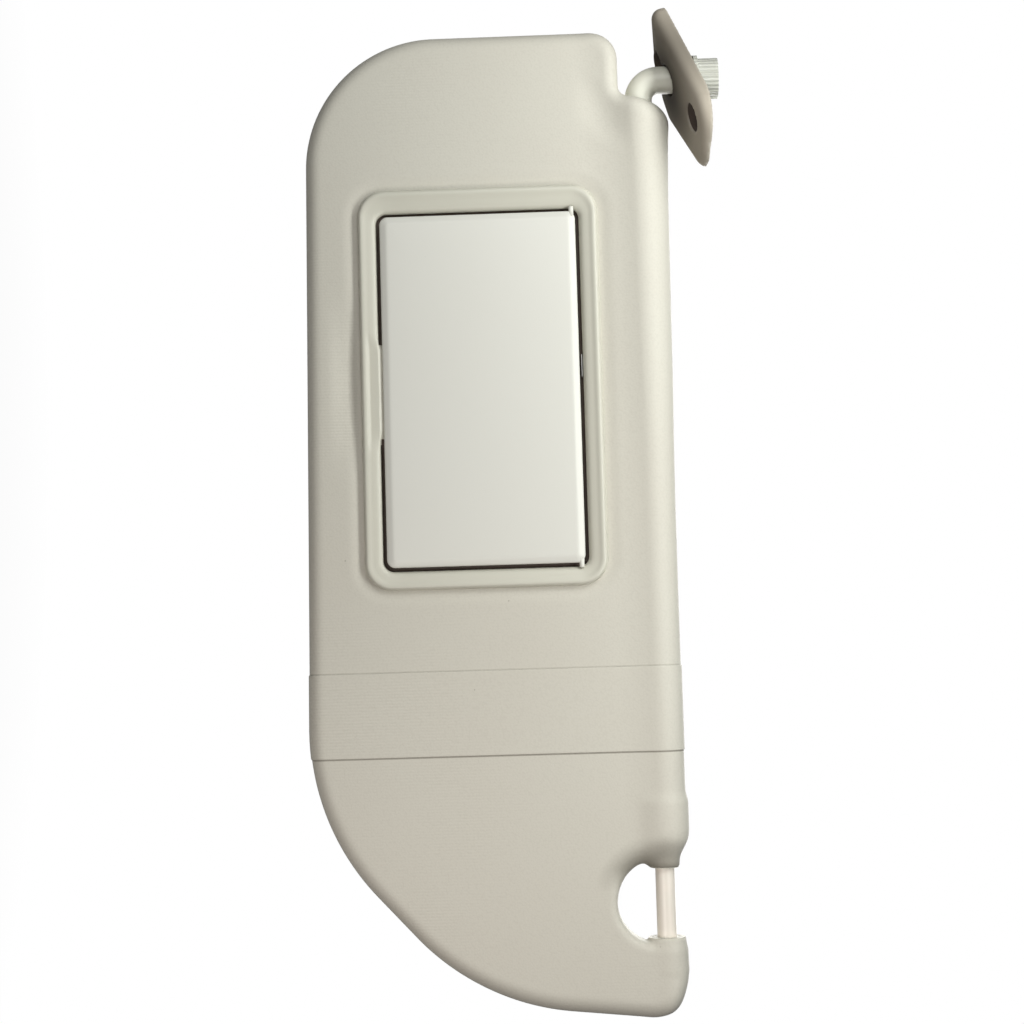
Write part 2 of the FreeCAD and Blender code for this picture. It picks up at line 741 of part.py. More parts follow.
part("clamp_housing", cut("clamp_cut", clamp_form("clamp_blank", "0 * sizes.fit_gap"),
                          clamp_bore, spring_room, tail_room))

spring_roll = fused(
    "spring_roll",
    cylinder("spring_tube", ALONG_X, Radius="sizes.core_radius + sizes.running_gap + sizes.spring_thickness",
             Height="sizes.clamp_end - sizes.clamp_start - 2 * sizes.clamp_wall - 2 * sizes.fit_gap",
             x="sizes.clamp_start + sizes.clamp_wall + sizes.fit_gap", z="-sizes.rod_drop"),
    block("spring_tails", Length="sizes.clamp_end - sizes.clamp_start - 2 * sizes.clamp_wall"
          " - 2 * sizes.fit_gap",
          Width="2 * sizes.spring_thickness + sizes.spring_slit", Height=TAIL + " - sizes.fit_gap",
          x="sizes.clamp_start + sizes.clamp_wall + sizes.fit_gap",
          y="-sizes.spring_thickness - sizes.spring_slit / 2",
          z="-sizes.rod_drop - sizes.clamp_lug_depth + sizes.clamp_wall + sizes.fit_gap"),
)
spring_slit = block("spring_slit", Length="sizes.clamp_end", Width="sizes.spring_slit",
                    Height="sizes.clamp_lug_depth", x="sizes.clamp_start / 2",
                    y="-sizes.spring_slit / 2", z="-sizes.rod_drop - sizes.clamp_lug_depth")
spring_bore = cylinder("spring_bore", ALONG_X, Radius="sizes.core_radius + sizes.running_gap",
                       Height="sizes.clamp_end", x="sizes.clamp_start / 2", z="-sizes.rod_drop")
part("torque_spring", cut("spring_cut", spring_roll, spring_slit, spring_bore))

# Wire frame: one closed loop of wire that stiffens the foam
def frame_path():
    """The wire's line: the blade's outline drawn in, clear of the hinge bead and the notch."""
    inset = size("wire_inset")
    low, high = size("free_edge") + inset, size("lobe_edge") - inset
    tip_x, tip_z = size("clip_corner_along") - inset, size("clip_corner_across")
    bottom = low - math.tan(math.radians(size("free_edge_slope"))) * size("belly_start")
    corners = [
        (size("arm_end") + inset, high, inset / 2),
        (size("notch_start") - inset, high, inset),
        (size("notch_start") - inset / 2, -size("notch_depth") - inset, inset),
        (tip_x, -size("notch_depth") - inset, inset / 2),
        (tip_x, tip_z, size("clip_corner_round") - inset),
        (size("belly_start") - inset / 2, bottom, size("belly_round") - inset),
        (size("arm_end") + inset, low, size("arm_corner_round") - inset),
    ]
    wire = rounded_wire([c[:2] for c in corners], [c[2] for c in corners])
    wire.translate(Vector(0, size("wire_behind"), 0))
    return wire


def frame_wire(radius):
    """The bent wire, or with a larger radius its channel in the foam."""
    path = frame_path()
    start = path.Edges[-1]
    spot = start.Vertexes[0].Point
    ring_edge = Part.makeCircle(radius, spot, start.tangentAt(start.FirstParameter))
    return path.makePipeShell([Part.Wire([ring_edge])], True, False)


part("wire_frame", shaped("wire_frame", frame_wire(size("wire_radius")), at_rod))
wire_channel = shaped("wire_channel", frame_wire(size("wire_radius") + size("fit_gap")), at_rod)

ring_pocket = cylinder("ring_pocket", ALONG_X, Radius="sizes.rod_pocket_radius",
                       Height="sizes.rod_end - sizes.clamp_end + sizes.rod_pocket_room",
                       x="sizes.clamp_end", z="-sizes.rod_drop")
part("foam_core", cut("core_cut_out", core_form, hub_hole, socket_holes, tray_hole, ring_pocket,
                      clamp_form("clamp_pocket", "sizes.fit_gap"), wire_channel))

# Clip rod: snaps into the clip beside the mirror, held by a socket at each end
part("clip_rod", cylinder("clip_rod", ALONG_X, Radius="sizes.clip_rod_radius",
                          Height="sizes.clip_rod_end - sizes.clip_rod_start",
                          x="sizes.clip_rod_start", z="-sizes.rod_drop"))
HOLE = "sizes.clip_rod_radius + sizes.running_gap"
part("rear_socket", turned(
    "rear_socket",
    [
        ("0", "sizes.clip_rod_start - sizes.socket_floor"),
        ("sizes.socket_radius", "sizes.clip_rod_start - sizes.socket_floor"),
        ("sizes.socket_radius", "sizes.notch_start + sizes.socket_stand"),
        (HOLE, "sizes.notch_start + sizes.socket_stand"),
        (HOLE, "sizes.clip_rod_start - sizes.running_gap"),
        ("0", "sizes.clip_rod_start - sizes.running_gap"),
    ],
    ALONG_X, z="-sizes.rod_drop"))
part("front_socket", turned(
    "front_socket",
    [
        ("0", "sizes.clip_rod_end + sizes.socket_floor"),
        ("0", "sizes.clip_rod_end + sizes.running_gap"),
        (HOLE, "sizes.clip_rod_end + sizes.running_gap"),
        (HOLE, "sizes.notch_end - sizes.socket_collar - sizes.fit_gap"),
        ("sizes.socket_collar_radius", "sizes.notch_end - sizes.socket_collar - sizes.fit_gap"),
        ("sizes.socket_collar_radius", "sizes.notch_end - sizes.fit_gap"),
        ("sizes.socket_radius", "sizes.notch_end - sizes.fit_gap"),
        ("sizes.socket_radius", "sizes.clip_rod_end + sizes.socket_floor"),
    ],
    ALONG_X, z="-sizes.rod_drop"))

# Mirror: a tray with a raised border, a glass on a foam pad, and a hinged lid
FRONT = "-sizes.half_thickness"
LIP = FRONT + " - sizes.bezel_proud"
FLOOR = FRONT + " + sizes.bezel_depth"
LID_FACE = FRONT + " - sizes.lid_proud"
LID_BACK = LID_FACE + " + sizes.lid_thickness"
MOUTH = ("sizes.lid_start - sizes.lid_gap", "sizes.lid_end + sizes.lid_gap",
         "sizes.lid_low - sizes.lid_gap", "sizes.lid_high + sizes.lid_gap")


def bezel():
    """The moulded tray and its raised border."""
    body = upright_board(
        "bezel_blank",
        "sizes.lid_start - sizes.bezel_arm_border", "sizes.lid_end + sizes.bezel_clip_border",
        "sizes.lid_low - sizes.bezel_border", "sizes.lid_high + sizes.bezel_border",
        FRONT + " - sizes.fit_gap", LIP,
    )
    rounded(body, "bezel_corners", "sizes.bezel_corner", runs_across)
    tray = sketch_on(body, "XZ_Plane", "tray_outline", "-(%s)" % FLOOR)
    low_x, high_x, low_z, high_z = MOUTH
    draw_polygon(tray, [
        (low_x + " - sizes.bezel_wall", low_z + " - sizes.bezel_wall"),
        (low_x + " - sizes.bezel_wall", high_z + " + sizes.bezel_wall"),
        (high_x + " + sizes.bezel_wall", high_z + " + sizes.bezel_wall"),
        (high_x + " + sizes.bezel_wall", low_z + " - sizes.bezel_wall"),
    ])
    padded(body, "tray_pad", tray, "(%s) - (%s)" % (FLOOR, LIP))
    board_pocket(body, "tray_mouth", low_x, high_x, low_z, high_z, FLOOR + " - sizes.bezel_floor", LIP)
    lip = size("half_thickness") + size("bezel_proud")
    rounded(body, "bezel_lip", "sizes.bezel_lip_round", lambda edge: lies_at(edge, -lip))
    return body


PIN_Y = LID_FACE + " + sizes.pin_inset"
PIN_Z = "sizes.lid_high - sizes.pin_inset - sizes.rod_drop"


def hinge_pins(name, radius, reach):
    """A bar through the lid's hinge line that reaches past both of the lid's ends."""
    return cylinder(name, ALONG_X, Radius=radius,
                    Height="sizes.lid_end - sizes.lid_start + 2 * (%s)" % reach,
                    x="sizes.lid_start - (%s)" % reach, y=PIN_Y, z=PIN_Z)


PIN_REACH = "sizes.lid_gap + sizes.pin_depth"
finger_dip = block("finger_dip", Length="sizes.finger_end - sizes.finger_start",
                   Width="2 * sizes.bezel_proud", Height="sizes.finger_depth",
                   x="sizes.finger_start", y=LIP + " - sizes.bezel_proud",
                   z="sizes.lid_low - sizes.lid_gap - sizes.finger_depth - sizes.rod_drop")
pin_holes = hinge_pins("pin_holes", "sizes.pin_radius + sizes.running_gap", PIN_REACH + " + sizes.running_gap")
part("mirror_bezel", cut("bezel_cut", bezel(), pin_holes, finger_dip))

GLASS = ("sizes.lid_start + sizes.glass_border", "sizes.lid_end - sizes.glass_border",
         "sizes.lid_low + sizes.glass_border", "sizes.lid_high - sizes.hinge_border")
PAD = ("sizes.lid_start + sizes.glass_border + sizes.pad_border",
       "sizes.lid_end - sizes.glass_border - sizes.pad_border",
       "sizes.lid_low + sizes.glass_border + sizes.pad_border",
       "sizes.lid_high - sizes.hinge_border - sizes.pad_border")
PAD_BACK = FLOOR + " - sizes.bezel_floor - sizes.running_gap"
GLASS_BACK = PAD_BACK + " - sizes.pad_thickness - sizes.running_gap"
part("mirror_pad", upright_board("mirror_pad", *PAD, PAD_BACK, PAD_BACK + " - sizes.pad_thickness"))
part("mirror_glass", upright_board("mirror_glass", *GLASS, GLASS_BACK, GLASS_BACK + " - sizes.glass_thickness"))


def lid():
    """The lid's panel, with rounded corners and a softened front edge."""
    body = upright_board("lid_panel", "sizes.lid_start", "sizes.lid_end", "sizes.lid_low", "sizes.lid_high",
                         LID_BACK, LID_FACE)
    rounded(body, "lid_corners", "sizes.lid_corner", runs_across)
    face = size("half_thickness") + size("lid_proud")
    rounded(body, "lid_edge", "sizes.lid_edge_round", lambda edge: lies_at(edge, -face))
    return body


part("mirror_lid", fused("lid_fused", lid(), hinge_pins("lid_pins", "sizes.pin_radius", PIN_REACH)))

LEAF_Y = FLOOR + " - sizes.bezel_floor - sizes.running_gap"
leaf = body_of("lid_spring", x="sizes.leaf_start", z="-sizes.rod_drop")
leaf_profile = sketch_on(leaf, "YZ_Plane", "leaf_profile")
LEAF_TOP = "sizes.lid_high + sizes.lid_gap - sizes.running_gap"
draw_polygon(leaf_profile, [
    (LEAF_Y, LEAF_TOP),
    (LEAF_Y, LEAF_TOP + " - sizes.leaf_foot"),
    (LEAF_Y + " - sizes.leaf_thickness", LEAF_TOP + " - sizes.leaf_foot"),
    (LEAF_Y + " - sizes.leaf_thickness", LEAF_TOP + " - sizes.leaf_thickness"),
    (LEAF_Y + " - sizes.leaf_height", LEAF_TOP + " - sizes.leaf_thickness"),
    (LEAF_Y + " - sizes.leaf_height", LEAF_TOP),
])
padded(leaf, "leaf_pad", leaf_profile, "sizes.leaf_width")
part("lid_spring", leaf)

# Ticket strap: a thin band stretched round the blade
band = blade_form(size("strap_thickness")).cut(blade_form(size("running_gap")))
strap_window = Part.makeBox(size("strap_width"), 2 * OUTER, 4 * OUTER,
                            Vector(size("strap_start"), -OUTER, -3 * OUTER))
part("ticket_strap", shaped("ticket_strap", band.common(strap_window), at_rod))

doc.recompute()
for thing in doc.Objects:
    assert not {"Invalid", "Error"} & set(thing.State), "%s failed" % thing.Name
for thing in PARTS:
    assert not thing.Shape.isNull() and thing.Shape.isValid(), "%s is not sound" % thing.Label
os.makedirs("parts", exist_ok=True)
for thing in PARTS:
    thing.Shape.exportStep("parts/%s.step" % thing.Label)
    print("%-16s %d solid, %9.0f mm3" % (thing.Label, len(thing.Shape.Solids), thing.Shape.Volume))
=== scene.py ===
"""The dressed model of a car sun visor: its leather cover, mirror unit, strap, arm, bracket and clip rod."""

import logging
import math
from dataclasses import dataclass, field
from enum import Enum
from typing import Callable, Sequence

import bmesh
import bpy
import numpy as np
from mathutils import Matrix, Vector

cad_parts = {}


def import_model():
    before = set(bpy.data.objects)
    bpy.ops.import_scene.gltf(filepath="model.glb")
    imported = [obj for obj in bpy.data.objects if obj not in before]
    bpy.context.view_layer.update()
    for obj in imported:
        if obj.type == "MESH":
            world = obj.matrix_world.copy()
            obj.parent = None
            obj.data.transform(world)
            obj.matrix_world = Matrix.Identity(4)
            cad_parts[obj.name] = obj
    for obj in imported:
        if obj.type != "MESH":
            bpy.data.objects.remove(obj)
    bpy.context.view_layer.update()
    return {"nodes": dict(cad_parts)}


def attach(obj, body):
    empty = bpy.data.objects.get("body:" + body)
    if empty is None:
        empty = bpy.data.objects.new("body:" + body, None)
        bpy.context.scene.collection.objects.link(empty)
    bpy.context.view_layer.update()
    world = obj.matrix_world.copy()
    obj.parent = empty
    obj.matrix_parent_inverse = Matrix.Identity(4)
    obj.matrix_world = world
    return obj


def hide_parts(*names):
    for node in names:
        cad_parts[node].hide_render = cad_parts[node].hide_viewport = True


LOG = logging.getLogger("visor")
MM = 0.001
ROD_DROP = 24.6  # the rod's axis below the origin, in mm
GLOSS_SHARE = 0.45  # how white the surroundings are in a gloss
Rgb = tuple[int, int, int]
Point = tuple[float, float, float]
Skin = tuple[np.ndarray, list[list[int]]]  # points in mm, and faces
Form = Callable[[np.ndarray], np.ndarray]  # gives the signed distance at each row of points


# ---- Small helpers -------------------------------------------------------------------------

def linear(colour: Rgb) -> tuple[float, float, float, float]:
    """Turn a written colour into the shader's linear one.

    Args:
        colour: Red, green and blue from 0 to 255.

    Returns:
        The linear colour with full alpha.
    """
    def channel(value: int) -> float:
        """One channel, from 0 to 1."""
        share = value / 255
        return share / 12.92 if share <= 0.04045 else ((share + 0.055) / 1.055) ** 2.4

    return channel(colour[0]), channel(colour[1]), channel(colour[2]), 1.0


def smooth_step(low: float, high: float, value: np.ndarray) -> np.ndarray:
    """Rise smoothly from 0 at low to 1 at high."""
    share = np.clip((value - low) / (high - low), 0.0, 1.0)
    return share * share * (3 - 2 * share)


def hill(centre: float, reach: float, value: np.ndarray) -> np.ndarray:
    """A soft hill of height 1, with nothing beyond its reach."""
    share = np.clip(1 - ((value - centre) / reach) ** 2, 0.0, None)
    return share * share


def round_max(first: np.ndarray, second: np.ndarray, radius: float | np.ndarray) -> np.ndarray:
    """Keep what lies in both forms, with their meeting edge rounded."""
    a, b = first + radius, second + radius
    return np.hypot(np.maximum(a, 0), np.maximum(b, 0)) + np.minimum(np.maximum(a, b), 0) - radius


def soft_min(first: np.ndarray, second: np.ndarray, blend: float) -> np.ndarray:
    """Join two forms, with the corner between them filled softly."""
    share = np.clip(0.5 + 0.5 * (second - first) / blend, 0.0, 1.0)
    return second + (first - second) * share - blend * share * (1 - share)


def rounded_loop(corners: Sequence[Point], spacing: float) -> np.ndarray:
    """Draw a closed outline whose corners have their own rounds.

    Args:
        corners: Each corner's two coordinates and its round.
        spacing: The length of a step along a round.

    Returns:
        The outline's points, one row each.
    """
    points: list[np.ndarray] = []
    count = len(corners)
    for i, (x, z, radius) in enumerate(corners):
        here = np.array([x, z])
        back = np.array(corners[i - 1][:2]) - here
        ahead = np.array(corners[(i + 1) % count][:2]) - here
        back, ahead = back / np.linalg.norm(back), ahead / np.linalg.norm(ahead)
        if not radius:
            points.append(here)
            continue
        half = math.acos(float(np.clip(back @ ahead, -1, 1))) / 2
        centre = here + (back + ahead) / np.linalg.norm(back + ahead) * radius / math.sin(half)
        start = here + back * radius / math.tan(half) - centre
        end = here + ahead * radius / math.tan(half) - centre
        first, last = math.atan2(start[1], start[0]), math.atan2(end[1], end[0])
        turn = (last - first + math.pi) % (2 * math.pi) - math.pi
        steps = max(2, int(abs(turn) * radius / spacing))
        for k in range(steps + 1):
            angle = first + turn * k / steps
            points.append(centre + radius * np.array([math.cos(angle), math.sin(angle)]))
    return np.array(points)


def mesh_piece(name: str, points: np.ndarray, faces: Sequence[Sequence[int]]) -> bpy.types.Object:
    """Make a mesh object from points in millimetres, measured from the rod's axis.

    Args:
        name: The piece's name.
        points: One row of x, y and z for each point.
        faces: The point numbers of each face.

    Returns:
        The new object, in the row frame.
    """
    placed = (np.asarray(points, float) - [0.0, 0.0, ROD_DROP]) * MM
    mesh = bpy.data.meshes.new(name)
    mesh.from_pydata(placed.tolist(), [], [list(map(int, f)) for f in faces])
    mesh.validate()
    mesh.polygons.foreach_set("use_smooth", [True] * len(mesh.polygons))
    mesh.update()
    made = bpy.data.objects.new(name, mesh)
    bpy.context.scene.collection.objects.link(made)
    return made


def rings_mesh(rings: Sequence[np.ndarray], cap_first: bool, cap_last: bool) -> Skin:
    """Join closed rings of equal length into one skin.

    Args:
        rings: The rings, one after another along the skin.
        cap_first: Whether the first ring is filled.
        cap_last: Whether the last ring is filled.

    Returns:
        The points and the faces.
    """
    count = len(rings[0])
    points = np.concatenate(rings)
    faces: list[list[int]] = []
    for r in range(len(rings) - 1):
        for i in range(count):
            j = (i + 1) % count
            faces.append([r * count + i, r * count + j, (r + 1) * count + j, (r + 1) * count + i])
    if cap_first:
        faces.append(list(range(count))[::-1])
    if cap_last:
        faces.append([(len(rings) - 1) * count + i for i in range(count)])
    return points, faces


def lathe_mesh(profile: Sequence[tuple[float, float]], start: Point, way: Point, steps: int) -> Skin:
    """Turn a profile about an axis.

    Args:
        profile: Pairs of height along the axis and radius.
        start: The axis's foot.
        way: The axis's direction, of length one.
        steps: How many sides the turned piece has.

    Returns:
        The points and the faces, closed at both ends.
    """
    axis = Vector(way)
    side = axis.orthogonal().normalized()
    up = axis.cross(side)
    rings = []
    for height, radius in profile:
        turns = [2 * math.pi * k / steps for k in range(steps)]
        rings.append(np.array([
            Vector(start) + axis * height + (side * math.cos(a) + up * math.sin(a)) * radius for a in turns
        ]))
    return rings_mesh(rings, True, True)


def outward(thing: bpy.types.Object) -> bpy.types.Object:
    """Turn all faces of a closed piece outwards.

    Args:
        thing: The piece.

    Returns:
        The same piece.
    """
    work = bmesh.new()
    work.from_mesh(thing.data)
    bmesh.ops.recalc_face_normals(work, faces=work.faces)
    work.to_mesh(thing.data)
    work.free()
    return thing


# ---- Surface of a form given by distances --------------------------------------------------

@dataclass(frozen=True)
class FormMesher:
    """Meshes the surface of a form that is given by signed distances."""

    step: float = 1.25

    def corners(self) -> list[tuple[int, int, int]]:
        """The eight corners of a grid cell."""
        return [(i, j, k) for i in (0, 1) for j in (0, 1) for k in (0, 1)]

    def mesh(self, form: Form, low: Point, high: Point) -> tuple[np.ndarray, np.ndarray]:
        """Mesh the form's surface inside a box.

        Args:
            form: Gives the signed distance at each row of points.
            low: The box's lowest corner.
            high: The box's highest corner.

        Returns:
            The points on the surface and the four-sided faces.
        """
        axes = [np.arange(a, b + self.step, self.step) for a, b in zip(low, high)]
        grid = np.stack(np.meshgrid(*axes, indexing="ij"), -1)
        values = form(grid.reshape(-1, 3)).reshape(grid.shape[:3])
        places, index = self.cell_points(values, axes)
        faces = np.concatenate([self.faces_along(values < 0, index, axis) for axis in range(3)])
        return self.drawn_in(form, places), faces

    def cell_points(self, values: np.ndarray, axes: list[np.ndarray]) -> tuple[np.ndarray, np.ndarray]:
        """One point in each cell that the surface crosses.

        Args:
            values: The signed distances on the grid.
            axes: The grid's coordinates along each axis.

        Returns:
            The points, and each cell's point number or -1.
        """
        shape = [n - 1 for n in values.shape]
        reads = {c: values[tuple(slice(i, i + n) for i, n in zip(c, shape))] for c in self.corners()}
        inside = sum((reads[c] < 0).astype(np.int8) for c in reads)
        active = (inside > 0) & (inside < 8)
        index = np.full(shape, -1, np.int64)
        index[active] = np.arange(active.sum())
        cells = np.argwhere(active).astype(float)
        total, hits = np.zeros((len(cells), 3)), np.zeros(len(cells))
        for a in self.corners():
            for b in self.corners():
                if sum(abs(p - q) for p, q in zip(a, b)) != 1 or a > b:
                    continue
                va, vb = reads[a][active], reads[b][active]
                crossed = (va < 0) != (vb < 0)
                share = np.where(crossed, va / np.where(crossed, va - vb, 1.0), 0.0)
                spot = np.array(a) + share[:, None] * (np.array(b) - np.array(a))
                total += np.where(crossed[:, None], spot, 0.0)
                hits += crossed
        origin = np.array([axis[0] for axis in axes])
        return origin + (cells + total / hits[:, None]) * self.step, index

    def faces_along(self, inside: np.ndarray, index: np.ndarray, axis: int) -> np.ndarray:
        """The faces across all grid lines along one axis.

        Args:
            inside: Which grid points lie inside the form.
            index: Each cell's point number.
            axis: The axis of the grid lines.

        Returns:
            The four point numbers of each face.
        """
        turned = np.moveaxis(inside, axis, 0)
        cells = np.moveaxis(index, axis, 0)
        crossed = turned[:-1, 1:-1, 1:-1] != turned[1:, 1:-1, 1:-1]
        i, j, k = np.nonzero(crossed)
        quad = np.stack([cells[i, j, k], cells[i, j + 1, k], cells[i, j + 1, k + 1], cells[i, j, k + 1]], 1)
        leaves = turned[:-1, 1:-1, 1:-1][crossed]
        if axis == 1:
            leaves = ~leaves
        quad[~leaves] = quad[~leaves][:, ::-1]
        return quad

    def drawn_in(self, form: Form, places: np.ndarray) -> np.ndarray:
        """Move points onto the form's surface, by less than half a cell.

        Args:
            form: Gives the signed distance at each row of points.
            places: The points near the surface.

        Returns:
            The points on it.
        """
        nudge = 0.05
        for _ in range(2):
            here = form(places)
            slope = np.stack([(form(places + nudge * side) - form(places - nudge * side)) / (2 * nudge)
                              for side in np.eye(3)], 1)
            size = np.maximum((slope ** 2).sum(1), 0.25)
            shift = slope * (here / size)[:, None]
            places = places - np.clip(shift, -0.4 * self.step, 0.4 * self.step)
        return places


# ---- Shader groups and finishes ------------------------------------------------------------

class Socket(Enum):
    """The kinds of socket that the shader groups use."""

    VALUE = "NodeSocketFloat"
    COLOUR = "NodeSocketColor"
    VECTOR = "NodeSocketVector"


@dataclass
class Tree:
    """A node tree that is being built."""

    nodes: bpy.types.Nodes
    links: bpy.types.NodeLinks

    def add(self, kind: str, **settings: object) -> bpy.types.Node:
        """Add a node and set its properties.

        Args:
            kind: The node's type name.
            settings: Its properties by name.

        Returns:
            The node.
        """
        node = self.nodes.new(kind)
        for name, value in settings.items():
            setattr(node, name, value)
        return node

    def feed(self, node: bpy.types.Node, **inputs: object) -> bpy.types.Node:
        """Link sockets or set values on a node's inputs.

        Args:
            node: The node.
            inputs: A socket or value by input name, with _ for a blank, or by in0, in1 and so on.

        Returns:
            The same node.
        """
        for name, value in inputs.items():
            key = int(name[2:]) if name[:2] == "in" and name[2:].isdigit() else name.replace("_", " ")
            if isinstance(value, bpy.types.NodeSocket):
                self.links.new(value, node.inputs[key])
            else:
                node.inputs[key].default_value = value
        return node

    def group(self, shared: bpy.types.NodeTree, **inputs: object) -> bpy.types.Node:
        """Add a shared effect and feed it."""
        return self.feed(self.add("ShaderNodeGroup", node_tree=shared), **inputs)

    def noise(self, **inputs: object) -> bpy.types.Node:
        """Add a noise texture and feed it."""
        return self.feed(self.add("ShaderNodeTexNoise"), **inputs)

    def bump(self, **inputs: object) -> bpy.types.Node:
        """Add a bump and feed it."""
        return self.feed(self.add("ShaderNodeBump"), **inputs)

    def parts(self, value: bpy.types.NodeSocket) -> bpy.types.Node:
        """Split a value into its X, Y and Z."""
        return self.feed(self.add("ShaderNodeSeparateXYZ"), in0=value)

    def place(self) -> bpy.types.NodeSocket:
        """Where a point lies on its own piece."""
        return self.add("ShaderNodeTexCoord").outputs["Object"]

    def maths(self, operation: str, *values: object) -> bpy.types.NodeSocket:
        """A Math node's result.

        Args:
            operation: The node's operation.
            values: Its inputs, sockets or numbers.

        Returns:
            The result's socket.
        """
        node = self.add("ShaderNodeMath", operation=operation)
        self.feed(node, **{f"in{i}": value for i, value in enumerate(values)})
        return node.outputs[0]

    def ramp(self, value: object, low: float, high: float,
             to_low: float = 0.0, to_high: float = 1.0) -> bpy.types.NodeSocket:
        """Stretch a value from one range to another, clamped.

        Args:
            value: The value's socket.
            low: The range's low end.
            high: Its high end.
            to_low: The new low end.
            to_high: The new high end.

        Returns:
            The result's socket.
        """
        node = self.add("ShaderNodeMapRange")
        self.feed(node, Value=value, From_Min=low, From_Max=high, To_Min=to_low, To_Max=to_high)
        return node.outputs[0]

    def mixed(self, share: object, first: object, second: object, blend: str = "MIX") -> bpy.types.NodeSocket:
        """Mix two colours.

        Args:
            share: How much of the second shows.
            first: The first colour.
            second: The second colour.
            blend: The kind of mix.

        Returns:
            The mixed colour's socket.
        """
        node = self.add("ShaderNodeMix", data_type="RGBA", blend_type=blend)
        self.feed(node, in0=share, in6=first, in7=second)
        return node.outputs[2]


def new_group(name: str, inputs: dict[str, tuple[Socket, object]],
              outputs: dict[str, Socket]) -> tuple[bpy.types.NodeTree, Tree, bpy.types.Node, bpy.types.Node]:
    """Start a shader group with named sockets.

    Args:
        name: The group's name.
        inputs: Each input's kind and default.
        outputs: Each output's kind.

    Returns:
        The group, its tree, and its input and output nodes.
    """
    group = bpy.data.node_groups.new(name, "ShaderNodeTree")
    for key, (kind, value) in inputs.items():
        made = group.interface.new_socket(name=key, in_out="INPUT", socket_type=kind.value)
        made.default_value = value
    for key, kind in outputs.items():
        group.interface.new_socket(name=key, in_out="OUTPUT", socket_type=kind.value)
    tree = Tree(group.nodes, group.links)
    return group, tree, tree.add("NodeGroupInput"), tree.add("NodeGroupOutput")


